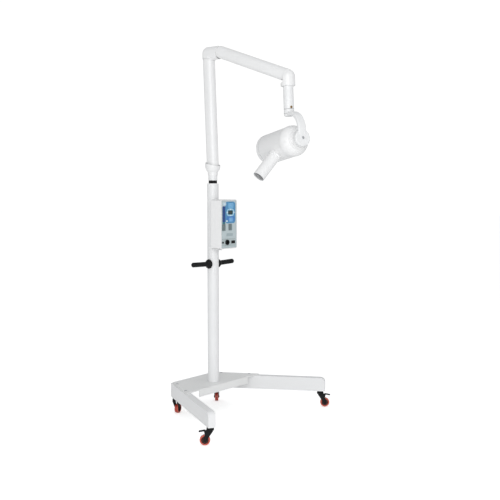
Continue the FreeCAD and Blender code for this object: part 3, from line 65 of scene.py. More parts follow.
def softened(profile, radius, steps=4):
    """Profile with its inner corners rounded: each corner B becomes the curve (1-t)^2 A + 2t(1-t) B + t^2 C,
    where A and C lie on its two sides, at the radius from B or at 45 % of the side, whichever is less."""
    line = np.asarray(profile, float)
    corner = line[1:-1]
    t = np.linspace(0, 1, steps)[None, :, None]
    ends = []
    for neighbour in (line[:-2], line[2:]):
        side = neighbour - corner
        length = np.linalg.norm(side, axis=1, keepdims=True)
        ends.append(corner + side / length * np.minimum(radius, 0.45 * length))
    before, after = (end[:, None, :] for end in ends)
    curve = (1 - t) ** 2 * before + 2 * t * (1 - t) * corner[:, None, :] + t**2 * after
    return np.concatenate([line[:1], curve.reshape(-1, 2), line[-1:]])


def lathed(profile, turns=64):
    """Grid of a turned shape: the profile's point (r, z) goes round as (r cos a, r sin a, z)."""
    angle = np.linspace(0, 2 * math.pi, turns, endpoint=False)
    r, z = np.asarray(profile, float).T
    return np.stack([np.outer(r, np.cos(angle)), np.outer(r, np.sin(angle)),
                     np.repeat(z[:, None], turns, 1)], -1)


def basis(along, across=(0.0, 0.0, 1.0)):
    """Matrix with the columns x, y and z of a local frame: z lies along one direction, x near another."""
    z = np.asarray(along, float)
    z = z / np.linalg.norm(z)
    x = np.asarray(across, float)
    if abs(x @ z) > 0.95 * np.linalg.norm(x):
        x = np.array([1.0, 0.0, 0.0])
    x = x - (x @ z) * z
    x = x / np.linalg.norm(x)
    return np.stack([x, np.cross(z, x), z], 1)


def set_at(grid, origin, along=(0.0, 0.0, 1.0), across=(1.0, 0.0, 0.0)):
    """The grid moved from its own frame to an origin, with its z along a direction: p' = R p + o."""
    return grid @ basis(along, across).T + np.asarray(origin, float)


print("softened corner:", softened([(0, 0), (1, 0), (1, 1)], 0.3).round(2).tolist())

# %% [markdown]
# ## From grids to a mesh
# A grid becomes quads between its rows and columns. The columns always close into rings. Rows that shrink
# to a point at the axis are merged there, so poles are closed. A ring whose rows also close on themselves,
# such as a bezel, has no poles at all. Every shape stays solid, with its faces outwards.

# %% Meshes


def ring_faces(rows, columns, closed, start):
    """Quads between neighbouring rows and columns of one grid, as an array of vertex numbers."""
    i, j = np.meshgrid(np.arange(rows if closed else rows - 1), np.arange(columns), indexing="ij")
    up, right = (i + 1) % rows, (j + 1) % columns
    corners = [i * columns + j, i * columns + right, up * columns + right, up * columns + j]
    return np.stack(corners, -1).reshape(-1, 4) + start


def make_piece(name, grids, body, skin, closed=False, sharp=38):
    """One object of several ring grids, riding on a body, with a finish; an attribute 'across' runs 0 to 1
    along each grid's profile, for patterns that follow the shape."""
    points, faces, across, start = [], [], [], 0
    for grid in grids:
        rows, columns = grid.shape[:2]
        points.append(grid.reshape(-1, 3))
        faces.append(ring_faces(rows, columns, closed, start))
        across.append(np.repeat(np.linspace(0, 1, rows), columns))
        start += rows * columns
    points, faces = np.concatenate(points), np.concatenate(faces)
    mesh = bpy.data.meshes.new(name)
    mesh.from_pydata(points.tolist(), [], faces.tolist())
    share = mesh.attributes.new("across", "FLOAT", "POINT")
    share.data.foreach_set("value", np.concatenate(across).astype(np.float32))
    merge_poles(mesh)
    mesh.shade_smooth()
    mesh.set_sharp_from_angle(angle=math.radians(sharp))
    mesh.materials.append(skin)
    piece = bpy.data.objects.new(name, mesh)
    bpy.context.scene.collection.objects.link(piece)
    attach(piece, body)
    print(name, len(mesh.polygons), "faces on", body)
    return piece


def merge_poles(mesh):
    """Joins points that share a place, which closes poles, and drops faces that have shrunk to nothing."""
    work = bmesh.new()
    work.from_mesh(mesh)
    bmesh.ops.remove_doubles(work, verts=work.verts, dist=1e-7)
    bmesh.ops.dissolve_degenerate(work, edges=work.edges, dist=1e-7)
    work.to_mesh(mesh)
    work.free()


# %% [markdown]
# ## One group for every painted and moulded skin
# Real paint and plastic are never one flat colour. They drift a little in tone, their edges are rubbed, and
# a fine grain or orange peel breaks up the gloss. All finishes share these effects, so they live in one
# node group with its own amounts for each finish. It reads Object coordinates, so the pattern stays on the
# piece when it moves.

# %% Node helpers


def add(tree, kind, inputs=(), **settings):
    """One node of a tree: settings are its own properties; each input gets a value or a node's output."""
    node = tree.nodes.new(kind)
    for key, value in settings.items():
        setattr(node, key, value)
    for socket, value in dict(inputs).items():
        if isinstance(value, bpy.types.NodeSocket):
            tree.links.new(value, node.inputs[socket])
        else:
            node.inputs[socket].default_value = value
    return node


def new_group(title, takes, gives):
    """Empty shader group with named sockets, and its input and output nodes."""
    group = bpy.data.node_groups.new(title, "ShaderNodeTree")
    kinds = {float: "NodeSocketFloat", tuple: "NodeSocketColor", list: "NodeSocketVector"}
    for label, value in takes.items():
        socket = group.interface.new_socket(label, in_out="INPUT", socket_type=kinds[type(value)])
        socket.default_value = value
    for label, kind in gives.items():
        group.interface.new_socket(label, in_out="OUTPUT", socket_type=kinds[kind])
    return group, group.nodes.new("NodeGroupInput"), group.nodes.new("NodeGroupOutput")


def band(tree, value, low, high, to_low=0.0, to_high=1.0):
    """Smooth step of a value between two thresholds."""
    node = add(tree, "ShaderNodeMapRange", {0: value, 1: low, 2: high, 3: to_low, 4: to_high},
               interpolation_type="SMOOTHSTEP")
    return node.outputs[0]


def maths(tree, operation, first, second=0.0):
    """Result of one sum on values."""
    return add(tree, "ShaderNodeMath", {0: first, 1: second}, operation=operation).outputs[0]


def blended(tree, share, first, second):
    """Colour between two, by a share."""
    node = add(tree, "ShaderNodeMix", {0: share, 6: first, 7: second}, data_type="RGBA")
    return node.outputs[2]


# %% The skin group
SKIN, skin_in, skin_out = new_group(
    "worn_skin",
    {"Colour": (0.8, 0.8, 0.8, 1.0), "Tired Colour": (0.7, 0.7, 0.7, 1.0),
     "Edge Colour": (0.9, 0.9, 0.9, 1.0), "Cloud Size": 0.2, "Cloud Amount": 0.5, "Grain Size": 0.001,
     "Roughness": 0.4, "Roughness Spread": 0.1, "Edge Width": 0.0012, "Edge Amount": 0.4},
    {"Colour": tuple, "Roughness": float, "Height": float, "Soft Normal": list},
)
place = add(SKIN, "ShaderNodeTexCoord").outputs["Object"]
cloud_scale = maths(SKIN, "DIVIDE", 1.0, skin_in.outputs["Cloud Size"])
cloud = add(SKIN, "ShaderNodeTexNoise", {"Vector": place, "Scale": cloud_scale, "Detail": 4.0}).outputs["Fac"]
cloud_share = maths(SKIN, "MULTIPLY", band(SKIN, cloud, 0.35, 0.65), skin_in.outputs["Cloud Amount"])
grain_scale = maths(SKIN, "DIVIDE", 1.0, skin_in.outputs["Grain Size"])
grain = add(SKIN, "ShaderNodeTexNoise", {"Vector": place, "Scale": grain_scale, "Detail": 2.0}).outputs["Fac"]
soft = add(SKIN, "ShaderNodeBevel", {"Radius": skin_in.outputs["Edge Width"]}, samples=4).outputs[0]
facing = add(SKIN, "ShaderNodeNewGeometry").outputs["Normal"]
turned_away = add(SKIN, "ShaderNodeVectorMath", {0: soft, 1: facing},
                  operation="DOT_PRODUCT").outputs["Value"]
rub = add(SKIN, "ShaderNodeTexNoise", {"Vector": place, "Scale": 45.0, "Detail": 5.0}).outputs["Fac"]
edge = maths(SKIN, "MULTIPLY", band(SKIN, turned_away, 0.995, 0.86), band(SKIN, rub, 0.42, 0.62))
edge_share = maths(SKIN, "MULTIPLY", edge, skin_in.outputs["Edge Amount"])
toned = blended(SKIN, cloud_share, skin_in.outputs["Colour"], skin_in.outputs["Tired Colour"])
worn = blended(SKIN, edge_share, toned, skin_in.outputs["Edge Colour"])
mottle = maths(SKIN, "SUBTRACT", maths(SKIN, "ADD", cloud, grain), 1.0)
spread = maths(SKIN, "MULTIPLY", mottle, skin_in.outputs["Roughness Spread"])
skin_rough = maths(SKIN, "ADD", skin_in.outputs["Roughness"], spread)
for label, value in (("Colour", worn), ("Roughness", skin_rough), ("Height", grain), ("Soft Normal", soft)):
    SKIN.links.new(value, skin_out.inputs[label])
print("skin group:", len(SKIN.nodes), "nodes")

# %% [markdown]
# ## A recipe for a finish
# Each finish is a material with one Principled shader. What changes over the surface comes from the skin
# group, and what is the same everywhere, such as the coat or the share of metal, is set on the shader
# itself.

# %% Finish recipe


def finish(title, colour, tired, edge_colour, cloud=(0.2, 0.5), grain=(0.001, 0.0001), rough=(0.4, 0.1),
           edges=(0.0012, 0.4), recolour=None, **shader):
    """Material of one finish: cloud is (size, amount), grain (size, depth), rough (middle, spread) and edges
    (width, amount). recolour may change the colour further, given the tree and the colour so far."""
    material = bpy.data.materials.new(title)
    material.use_nodes = True
    tree = material.node_tree
    tree.nodes.clear()
    skin = add(tree, "ShaderNodeGroup", node_tree=SKIN)
    amounts = {"Colour": (*colour, 1.0), "Tired Colour": (*tired, 1.0), "Edge Colour": (*edge_colour, 1.0),
               "Cloud Size": cloud[0], "Cloud Amount": cloud[1], "Grain Size": grain[0],
               "Roughness": rough[0], "Roughness Spread": rough[1], "Edge Width": edges[0],
               "Edge Amount": edges[1]}
    for label, value in amounts.items():
        skin.inputs[label].default_value = value
    bumps = {"Strength": 1.0, "Distance": grain[1], "Height": skin.outputs["Height"],
             "Normal": skin.outputs["Soft Normal"]}
    relief = add(tree, "ShaderNodeBump", bumps)
    shown = skin.outputs["Colour"]
    if recolour:
        shown = recolour(tree, shown)
    shading = {"Base Color": shown, "Roughness": skin.outputs["Roughness"], "Normal": relief.outputs[0]}
    surface = add(tree, "ShaderNodeBsdfPrincipled", shading)
    for label, value in shader.items():
        surface.inputs[label.replace("_", " ")].default_value = value
    end = add(tree, "ShaderNodeOutputMaterial")
    tree.links.new(surface.outputs[0], end.inputs[0])
    return material


# %% [markdown]
# ## White and grey skins
# The column, the legs, the yoke and the drop tube are powder coated: a satin film with a fine orange peel.
# The cross tubes and the column's socket are coated in a darker grey white, and the deck in a pale one. The
# arm covers, the box and the head are moulded in ABS, smoother and glossier.

# %% Paints and mouldings
COLUMN_WHITE = finish("white_powder_coat", (0.83, 0.835, 0.84), (0.79, 0.795, 0.80), (0.92, 0.92, 0.92),
                      cloud=(0.25, 0.5), grain=(0.0014, 0.00006), rough=(0.36, 0.12), Coat_Weight=0.15,
                      Coat_Roughness=0.2)
DECK_PALE = finish("pale_powder_coat", (0.84, 0.845, 0.84), (0.80, 0.805, 0.80), (0.90, 0.90, 0.90),
                   cloud=(0.16, 0.6), grain=(0.0014, 0.00008), rough=(0.42, 0.14), edges=(0.0016, 0.5))
BASE_GREY = finish("grey_powder_coat", (0.61, 0.625, 0.605), (0.57, 0.585, 0.56), (0.76, 0.77, 0.76),
                   cloud=(0.16, 0.6), grain=(0.0014, 0.00008), rough=(0.42, 0.14), edges=(0.0016, 0.5),
                   Coat_Weight=0.1, Coat_Roughness=0.25)
SHELL_WHITE = finish("white_moulding", (0.86, 0.862, 0.865), (0.83, 0.83, 0.828), (0.93, 0.93, 0.93),
                     cloud=(0.3, 0.5), grain=(0.0008, 0.00003), rough=(0.30, 0.08), edges=(0.001, 0.3),
                     Coat_Weight=0.2, Coat_Roughness=0.15)
BLACK_SHELL = finish("black_moulding", (0.006, 0.0065, 0.007), (0.011, 0.0115, 0.012), (0.05, 0.05, 0.052),
                     cloud=(0.03, 0.6), grain=(0.0007, 0.00006), rough=(0.55, 0.15), edges=(0.0008, 0.5),
                     Specular_IOR_Level=0.18)
KEY_RUBBER = finish("key_rubber", (0.17, 0.21, 0.22), (0.14, 0.18, 0.19), (0.32, 0.36, 0.38),
                    cloud=(0.02, 0.6), grain=(0.0006, 0.00005), rough=(0.62, 0.15), edges=(0.0012, 0.5))
print("skins ready")

# %% [markdown]
# ## Metals
# Hidden and half-hidden parts are zinc-plated steel, drawn aluminium and oiled spring wire. Zinc plating
# shows a faint crystal mottle, so its colour is taken further with a cell pattern before it meets the
# shader.

# %% Metals


def spangled(tree, colour):
    """Zinc's crystals: cells of Voronoi noise shift the colour a little."""
    spot = add(tree, "ShaderNodeTexCoord").outputs["Object"]
    cells = add(tree, "ShaderNodeTexVoronoi", {"Vector": spot, "Scale": 420.0}).outputs["Color"]
    tone = add(tree, "ShaderNodeSeparateColor", {0: cells}).outputs[0]
    return blended(tree, maths(tree, "MULTIPLY", tone, 0.35), colour, (0.50, 0.51, 0.54, 1.0))


ZINC = finish("zinc_plate", (0.62, 0.63, 0.65), (0.55, 0.56, 0.57), (0.80, 0.80, 0.80), cloud=(0.02, 0.6),
              grain=(0.0005, 0.00004), rough=(0.34, 0.2), edges=(0.0006, 0.6), recolour=spangled,
              Metallic=1.0)
SPRING = finish("oiled_spring_wire", (0.30, 0.30, 0.32), (0.20, 0.17, 0.15), (0.5, 0.5, 0.52),
                cloud=(0.03, 0.7), grain=(0.0004, 0.00003), rough=(0.3, 0.2), edges=(0.0005, 0.4),
                Metallic=1.0)
CHANNEL = finish("mill_aluminium", (0.70, 0.71, 0.73), (0.62, 0.63, 0.65), (0.85, 0.85, 0.86),
                 cloud=(0.05, 0.7), grain=(0.0006, 0.00004), rough=(0.38, 0.25), edges=(0.0008, 0.5),
                 Metallic=1.0)
TURNED = finish("turned_aluminium", (0.75, 0.76, 0.78), (0.68, 0.69, 0.71), (0.88, 0.88, 0.88),
                cloud=(0.02, 0.5), grain=(0.0004, 0.00005), rough=(0.25, 0.2), edges=(0.0006, 0.5),
                Metallic=1.0)
BRONZED = finish("bronzed_screw", (0.40, 0.25, 0.11), (0.16, 0.10, 0.05), (0.60, 0.45, 0.25),
                 cloud=(0.004, 0.7), grain=(0.0005, 0.00004), rough=(0.36, 0.2), edges=(0.0005, 0.7),
                 Metallic=0.8)
print("metals ready")

# %% [markdown]
# ## Wheels, glass and the electrical parts
# The treads are moulded in a warm red polyurethane, over a dark core. A lighter red on the tread's thin
# shoulders is a painted highlight, and it follows the tread's own profile attribute.

# %% Treads and inner parts


def highlighted_shoulders(tree, colour):
    """Painted highlight: lighter red on the shoulders of the tread, where the profile attribute is lowest and
    highest.
    """
    across = add(tree, "ShaderNodeAttribute", attribute_name="across").outputs["Fac"]
    off_middle = maths(tree, "ABSOLUTE", maths(tree, "SUBTRACT", across, 0.5))
    # the shoulders' lighter red (0.60, 0.095, 0.055) is a painted highlight
    return blended(tree, band(tree, off_middle, 0.05, 0.3), colour, (0.60, 0.095, 0.055, 1.0))


def wound_with_shaded_grooves(tree, colour):
    """Turns of wire: fine waves along the winding, with near-black painted shade in the grooves between them.
    """
    spot = add(tree, "ShaderNodeTexCoord").outputs["Object"]
    waves = add(tree, "ShaderNodeTexWave", {"Vector": spot, "Scale": 160.0, "Distortion": 0.4},
                bands_direction="Y").outputs["Fac"]
    # the near-black bands are painted shade in the grooves between turns
    return blended(tree, band(tree, waves, 0.0, 0.5), (0.03, 0.015, 0.01, 1.0), colour)


def tracked(tree, colour):
    """Circuit tracks: narrow lighter lines between the bricks of a brick pattern."""
    spot = add(tree, "ShaderNodeTexCoord").outputs["Object"]
    turned = add(tree, "ShaderNodeMapping",
                 {"Vector": spot, "Rotation": (math.radians(90), 0.0, 0.0)}).outputs[0]
    track = add(tree, "ShaderNodeTexBrick",
                {"Vector": turned, "Scale": 60.0, "Mortar Size": 0.03}).outputs["Fac"]
    return blended(tree, track, colour, (0.10, 0.42, 0.20, 1.0))


TREAD_RED = finish("red_tread", (0.44, 0.040, 0.024), (0.34, 0.030, 0.020), (0.70, 0.18, 0.12),
                   cloud=(0.012, 0.6), grain=(0.0008, 0.00004), rough=(0.28, 0.14), edges=(0.001, 0.4),
                   recolour=highlighted_shoulders, Coat_Weight=0.3, Coat_Roughness=0.2)
CORE_DARK = finish("wheel_core", (0.065, 0.018, 0.014), (0.10, 0.030, 0.022), (0.30, 0.12, 0.09),
                   cloud=(0.01, 0.6), grain=(0.0006, 0.00004), rough=(0.45, 0.2), edges=(0.0008, 0.5))
LEAD_LINING = finish("lead_lining", (0.50, 0.505, 0.51), (0.44, 0.445, 0.45), (0.62, 0.62, 0.63),
                     cloud=(0.015, 0.6), grain=(0.0006, 0.00008), rough=(0.5, 0.2), edges=(0.0008, 0.5))
BOARD = finish("circuit_board", (0.03, 0.20, 0.09), (0.02, 0.15, 0.07), (0.25, 0.35, 0.2),
               cloud=(0.02, 0.5), rough=(0.35, 0.1), recolour=tracked)
WINDING = finish("varnished_winding", (0.36, 0.16, 0.07), (0.28, 0.12, 0.05), (0.5, 0.3, 0.15),
                 cloud=(0.02, 0.5), rough=(0.3, 0.15), recolour=wound_with_shaded_grooves)
TUBE_GLASS = finish("tube_glass", (0.86, 0.90, 0.93), (0.80, 0.85, 0.90), (0.95, 0.97, 1.0),
                    cloud=(0.02, 0.5), rough=(0.06, 0.04), edges=(0.0006, 0.2), Transmission_Weight=0.85,
                    IOR=1.48)
DARK_GLASS = finish("display_glass", (0.008, 0.030, 0.028), (0.012, 0.045, 0.040), (0.05, 0.09, 0.09),
                    cloud=(0.006, 0.7), grain=(0.0005, 0.00001), rough=(0.14, 0.06), edges=(0.0008, 0.4),
                    Coat_Weight=0.6, Coat_Roughness=0.05)
print("inner finishes ready")

# %% [markdown]
# ## The printed membrane
# The control face is one polyester film, printed on its back: pale grey below, blue shapes above, a dark
# blue strip for the lamps. A print could be an image, but shapes worked out from the position stay sharp at
# any size. Each shape is a rounded box in the panel's plane, and its mask is made by one small node group.

# %% Printed shapes
ZONE, zone_in, zone_out = new_group(
    "printed_zone",
    {"Middle X": 0.0, "Middle Z": 0.0, "Half Width": 0.01, "Half Height": 0.01, "Corner": 0.002},
    {"Mask": float})
spot = add(ZONE, "ShaderNodeSeparateXYZ", {0: add(ZONE, "ShaderNodeTexCoord").outputs["Object"]})
reach = []
for axis, middle, half in (("X", "Middle X", "Half Width"), ("Z", "Middle Z", "Half Height")):
    away = maths(ZONE, "ABSOLUTE", maths(ZONE, "SUBTRACT", spot.outputs[axis], zone_in.outputs[middle]))
    inner = maths(ZONE, "SUBTRACT", zone_in.outputs[half], zone_in.outputs["Corner"])
    beyond = maths(ZONE, "MAXIMUM", maths(ZONE, "SUBTRACT", away, inner), 0.0)
    reach.append(maths(ZONE, "MULTIPLY", beyond, beyond))
distance = maths(ZONE, "SQRT", maths(ZONE, "ADD", *reach))
past_corner = maths(ZONE, "SUBTRACT", distance, zone_in.outputs["Corner"])
ZONE.links.new(band(ZONE, past_corner, 0.0002, -0.0002), zone_out.inputs["Mask"])

PANEL_MIDDLE = (0.0, 1007.5)

# Colour, middle (x, z), half size (x, z) and corner radius, in millimetres, from the back print to the
# front
PRINTED = (
    ((0.42, 0.50, 0.52), PANEL_MIDDLE, (57.5, 122.0), 5.0),
    ((0.50, 0.58, 0.60), PANEL_MIDDLE, (55.5, 120.0), 4.5),
    ((0.075, 0.27, 0.50), (10.0, 1068.0), (40.0, 56.0), 16.0),
    ((0.16, 0.42, 0.68), (14.0, 1104.0), (22.0, 18.0), 16.0),
    ((0.05, 0.22, 0.42), (13.0, 1120.0), (16.0, 2.4), 2.2),
    ((0.05, 0.20, 0.52), (12.0, 1036.0), (33.0, 13.0), 12.0),
    ((0.14, 0.36, 0.70), (15.0, 1031.0), (18.0, 11.0), 10.0),
    ((0.34, 0.58, 0.74), (11.0, 1068.0), (30.0, 19.0), 17.0),
    ((0.04, 0.20, 0.30), (11.0, 1068.0), (19.5, 12.0), 6.0),
    ((0.006, 0.050, 0.22), (-41.0, 1059.0), (11.5, 42.0), 4.0),
    ((0.03, 0.17, 0.22), (-41.0, 1014.0), (11.5, 5.5), 2.5),
    ((0.50, 0.64, 0.74), (-34.0, 1112.0), (12.0, 7.5), 6.0),
    ((0.20, 0.27, 0.28), (-42.0, 991.0), (14.5, 17.5), 4.0),
    ((0.18, 0.26, 0.27), (10.0, 992.0), (13.5, 17.5), 4.0),
    ((0.36, 0.44, 0.46), (4.0, 953.0), (25.0, 7.5), 3.0),
    ((0.28, 0.35, 0.36), (-3.0, 914.0), (53.0, 19.0), 6.0),
    ((0.44, 0.51, 0.52), (-3.0, 914.0), (51.8, 17.8), 5.0),
)


def printed(tree, colour):
    """Lays the printed shapes over the film's colour, one after the other."""
    for tone, middle, half, corner in PRINTED:
        zone = add(tree, "ShaderNodeGroup", node_tree=ZONE)
        values = (*middle, *half, corner)
        for socket, value in zip(zone.inputs, values):
            socket.default_value = value * MM
        colour = blended(tree, zone.outputs[0], colour, (*tone, 1.0))
    return colour


FILM = finish("printed_membrane", (0.62, 0.64, 0.65), (0.58, 0.60, 0.61), (0.75, 0.76, 0.77),
              cloud=(0.05, 0.4), grain=(0.0004, 0.00001), rough=(0.32, 0.08), edges=(0.0006, 0.3),
              recolour=printed, Coat_Weight=0.2, Coat_Roughness=0.2)
print(len(PRINTED), "printed shapes")

# %% [markdown]
# ## Finishes on the solids
# Every solid arrives with a plain colour for its material slot. Each slot's name says what it is made of,
# so a table from slot to finish dresses all the solids at once. The deck differs from its slot and is set
# by name.

# %% Dressing the solids
FINISHES = {"white_paint": COLUMN_WHITE, "grey_paint": BASE_GREY, "white_plastic": SHELL_WHITE,
            "black_plastic": BLACK_SHELL, "red_wheel": TREAD_RED, "zinc_steel": ZINC, "spring_steel": SPRING,
            "arm_channel": CHANNEL, "panel_film": FILM, "dark_glass": DARK_GLASS, "circuit_board": BOARD,
            "grey_rubber": KEY_RUBBER, "beam_aluminium": TURNED, "tube_glass": TUBE_GLASS,
            "winding_core": WINDING}
for node in NODES.values():
    for number, plain in enumerate(node.data.materials):
        node.data.materials[number] = FINISHES[plain.name.split(".")[0]]
NODES["deck_plate"].data.materials[0] = DECK_PALE
print("dressed", len(NODES), "solids")

# %% [markdown]
# ## Treads and hubs
# A caster's wheel is two mouldings: a hard core with webs and a hub, and a soft tread over its rim. The
# tread is a lathe shape with a slight crown. The core's face is lathed as well, but its depth also depends
# on the angle, which leaves five webs between pockets. Both turn with the wheel's own body.

# %% Wheels
AXLE = 4.05 * MM
TREAD_RADIUS, TREAD_HALF, CORE_RADIUS = 25.0 * MM, 9.5 * MM, 18.0 * MM
CROWN = 0.9 * MM
POCKETS, POCKET_DEPTH = 5, 4.2 * MM
CORNERS = ("front_left", "front_right", "rear_left", "rear_right")


def tread_grid():
    """Closed profile round the rim: the radius falls from the crown to the shoulders as R - c s^4, where c is
    the crown's height and s runs from -1 to 1 across the tread."""
    s = np.linspace(-1, 1, 17)
    outer = np.stack([TREAD_RADIUS - CROWN * s**4, (TREAD_HALF - 0.6 * MM) * s], 1)
    top = [(TREAD_RADIUS - 2.4 * MM, TREAD_HALF), (CORE_RADIUS + 1.2 * MM, TREAD_HALF)]
    inner = [(CORE_RADIUS, TREAD_HALF - 0.8 * MM), (CORE_RADIUS, 0.8 * MM - TREAD_HALF)]
    bottom = [(CORE_RADIUS + 1.2 * MM, -TREAD_HALF), (TREAD_RADIUS - 2.4 * MM, -TREAD_HALF)]
    return lathed(np.concatenate([inner[1:], bottom, outer, top, inner[:1]]), 72)


def core_grid():
    """Closed profile of the core; between hub and rim its face sinks by the pocket's depth times a share,
    which is 0.5 + 1.6 (cos 5a + 0.35) held between 0 and 1."""
    steps = np.array([7.5, 8.2, 9.4, 12.5, 15.4, 16.4]) * MM
    radii = np.concatenate([[AXLE], steps, [CORE_RADIUS - 0.05 * MM]])
    heights = np.array([9.5, 9.5, 8.9, 6.5, 6.0, 6.5, 8.6, 8.9]) * MM
    profile = np.concatenate([np.stack([radii, -heights], 1), np.stack([radii, heights], 1)[::-1]])
    grid = lathed(profile, 80)
    angle = np.arctan2(grid[..., 1], grid[..., 0])
    radius = np.hypot(grid[..., 0], grid[..., 1])
    in_pocket = np.clip((radius - 8.5 * MM) / MM, 0, 1) * np.clip((16.2 * MM - radius) / MM, 0, 1)
    sunk = np.clip(0.5 + 1.6 * (np.cos(POCKETS * angle) + 0.35), 0, 1)
    grid[..., 2] -= np.sign(grid[..., 2]) * POCKET_DEPTH * in_pocket * sunk
    return grid


for corner in CORNERS:
    spin = JOINTS["wheel_spin_" + corner]
    body = "wheel_body_" + corner
    tyre = set_at(tread_grid(), spin["pos_m"], spin["axis"])
    tread = make_piece("tread_" + corner, [tyre], body, TREAD_RED, closed=True, sharp=50)
    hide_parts("wheel_" + corner)
    core = set_at(core_grid(), spin["pos_m"], spin["axis"])
    make_piece("core_" + corner, [core], body, CORE_DARK, closed=True, sharp=30)

# %% [markdown]
# ## Axle ends
# Each fork's axle is a black rivet through both cheeks. Its formed heads are shallow domes, a little wider
# than the bore.

# %% Axle heads
FORK_FACE = 13.5 * MM
RIVET_RADIUS, RIVET_RISE, RIVET_SINK = 5.6 * MM, 2.4 * MM, 0.3 * MM


def dome_grid(radius, height, foot, turns=28):
    """Button: a foot that goes down into what carries it, and a top with z = h sqrt(1 - 0.8 (r/R)^2)."""
    share = np.linspace(1, 0, 7)
    rim = height * math.sqrt(0.2)
    top = np.stack([radius * share, height * np.sqrt(1 - 0.8 * share**2)], 1)
    return lathed(np.concatenate([[(0, -foot), (radius, -foot), (radius, 0.4 * rim)], top]), turns)


for corner in CORNERS:
    spin = JOINTS["wheel_spin_" + corner]
    middle, axis = np.array(spin["pos_m"]), np.array(spin["axis"])
    rivet = dome_grid(RIVET_RADIUS, RIVET_RISE, RIVET_SINK)
    heads = [set_at(rivet, middle + side * FORK_FACE * axis, side * axis) for side in (-1.0, 1.0)]
    make_piece("axle_heads_" + corner, heads, "caster_" + corner, BLACK_SHELL)

# %% [markdown]
# ## Grips
# The two push bars carry black moulded grips with a bell at the column end and fine ribs. A rib is a small
# cosine in the radius, so the grips are lathe shapes too, with an inner bore that fits the bar.

# %% Grips
BAR_TILT = math.radians(1.5)
GRIP_START, GRIP_END = 31.8, 159.3
GRIP_BORE, GRIP_FLOOR = 8.02, 6.0
RIB_MIDDLE, RIB_RISE, RIB_PITCH = 12.1, 0.4, 4.2
HANDLE = np.array((0.0, 0.0, 0.795))


def grip_grid():
    """Bell, ribbed barrel and rounded end, worked out in millimetres: at a distance s along the bar the
    barrel's radius is 12.1 + 0.4 cos(2 pi s / 4.2)."""
    s = np.linspace(58.0, 148.0, 129)
    barrel = np.stack([RIB_MIDDLE + RIB_RISE * np.cos(2 * math.pi * s / RIB_PITCH), s], 1)
    bottom = GRIP_END - GRIP_FLOOR
    bell = [(GRIP_BORE, GRIP_START), (23.4, GRIP_START), (25.0, 34.3), (23.6, 37.6), (17.0, 46.0),
            (13.4, 52.5), (12.5, 56.0)]
    end = [(12.5, 150.0), (12.5, 155.0), (9.0, GRIP_END), (0.0, GRIP_END)]
    bore = [(0.0, bottom), (GRIP_BORE, bottom)]
    profile = np.concatenate([bore, softened(bell, 3.0), barrel, softened(end, 2.5)])
    return lathed(profile * MM, 56)


grips = [set_at(grip_grid(), HANDLE, (side * math.cos(BAR_TILT), 0.0, math.sin(BAR_TILT)))
         for side in (-1, 1)]
GRIPS = make_piece("push_grips", grips, "stand", BLACK_SHELL, sharp=60)
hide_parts("handle_grips")

# %% [markdown]
# ## Screw heads
# Covers are held by pan heads with a cross recess. The head is a height over a disc: a flat dome, less a
# cross where the point is near one of two lines and within 0.58 of the radius. One function serves every
# screw on the object.

# %% Screws


def screw_grid(radius, height, rings=12, turns=32):
    """Pan head: z = h (1 - 0.45 (r/R)^4), less a recess of 0.6 h times the cross mask."""
    share = np.linspace(1, 0, rings)
    grid = lathed(np.stack([radius * share, height * (1 - 0.45 * share**4)], 1), turns)
    near_line = np.minimum(np.abs(grid[..., 0]), np.abs(grid[..., 1]))
    off_axis = np.hypot(grid[..., 0], grid[..., 1])
    cross = np.clip((0.16 * radius - near_line) / (0.06 * radius), 0, 1)
    cross *= np.clip((0.58 * radius - off_axis) / (0.10 * radius), 0, 1)
    grid[..., 2] -= 0.6 * height * cross
    foot = lathed([(0.0, -0.3 * MM), (radius, -0.3 * MM)], turns)
    return np.concatenate([foot, grid])


def screws(name, places, body, skin=ZINC, radius=3.2 * MM, height=1.6 * MM):
    """Several screw heads as one piece: each place is a point and the direction it faces."""
    grids = [set_at(screw_grid(radius, height), point, facing, (0.3, 0.5, 0.8)) for point, facing in places]
    return make_piece(name, grids, body, skin, sharp=25)


BACKWARDS = (0.0, 1.0, 0.0)
BOX_BACK, BRACKET_BACK = -42.0, -38.0
BOX_SCREWS = [(x, BOX_BACK, z) for x in (-52, 52) for z in (892, 1123)]
BRACKET_SCREWS = [(x, BRACKET_BACK, z) for x in (-18, 18) for z in (876, 1050)]
screws("box_screws", [(np.array(spot) * MM, BACKWARDS) for spot in BOX_SCREWS], "stand")
screws("bracket_screws", [(np.array(spot) * MM, BACKWARDS) for spot in BRACKET_SCREWS], "stand")

# %% [markdown]
# ## Button bolts of the deck
# The deck is bolted to the legs with hexagon-socket button heads. The recess is a hexagon: its edge lies
# where the radius times the cosine of the angle within one sixth of a turn meets half the key's width.

# %% Deck bolts
DECK_TOP = 167.0 * MM
LEG_SPLAY, LEG_ROOT_X, LEG_ROOT_Y = math.radians(29.6), 150.0, 145.0
BOLT_ROWS = (-37.0, 100.0)
BOLT_HEAD, BOLT_RISE, BOLT_SHANK, BOLT_LENGTH = 7.0 * MM, 3.0 * MM, 3.98 * MM, 16.0 * MM


def socket_bolt_grid(radius, height, shank, length, rings=14, turns=48):
    """Button head on its shank: z = h (1 - 0.55 (r/R)^3), less a hexagonal recess of 0.62 h."""
    share = np.linspace(1, 0, rings)
    grid = lathed(np.stack([radius * share, height * (1 - 0.55 * share**3)], 1), turns)
    angle = np.arctan2(grid[..., 1], grid[..., 0])
    sixth = (angle + math.pi / 6) % (math.pi / 3) - math.pi / 6
    flat = np.hypot(grid[..., 0], grid[..., 1]) * np.cos(sixth)
    grid[..., 2] -= 0.62 * height * np.clip((0.46 * radius - flat) / (0.07 * radius), 0, 1)
    foot = lathed([(0, -length), (shank, -length), (shank, 0), (radius, 0)], turns)
    return np.concatenate([foot, grid])


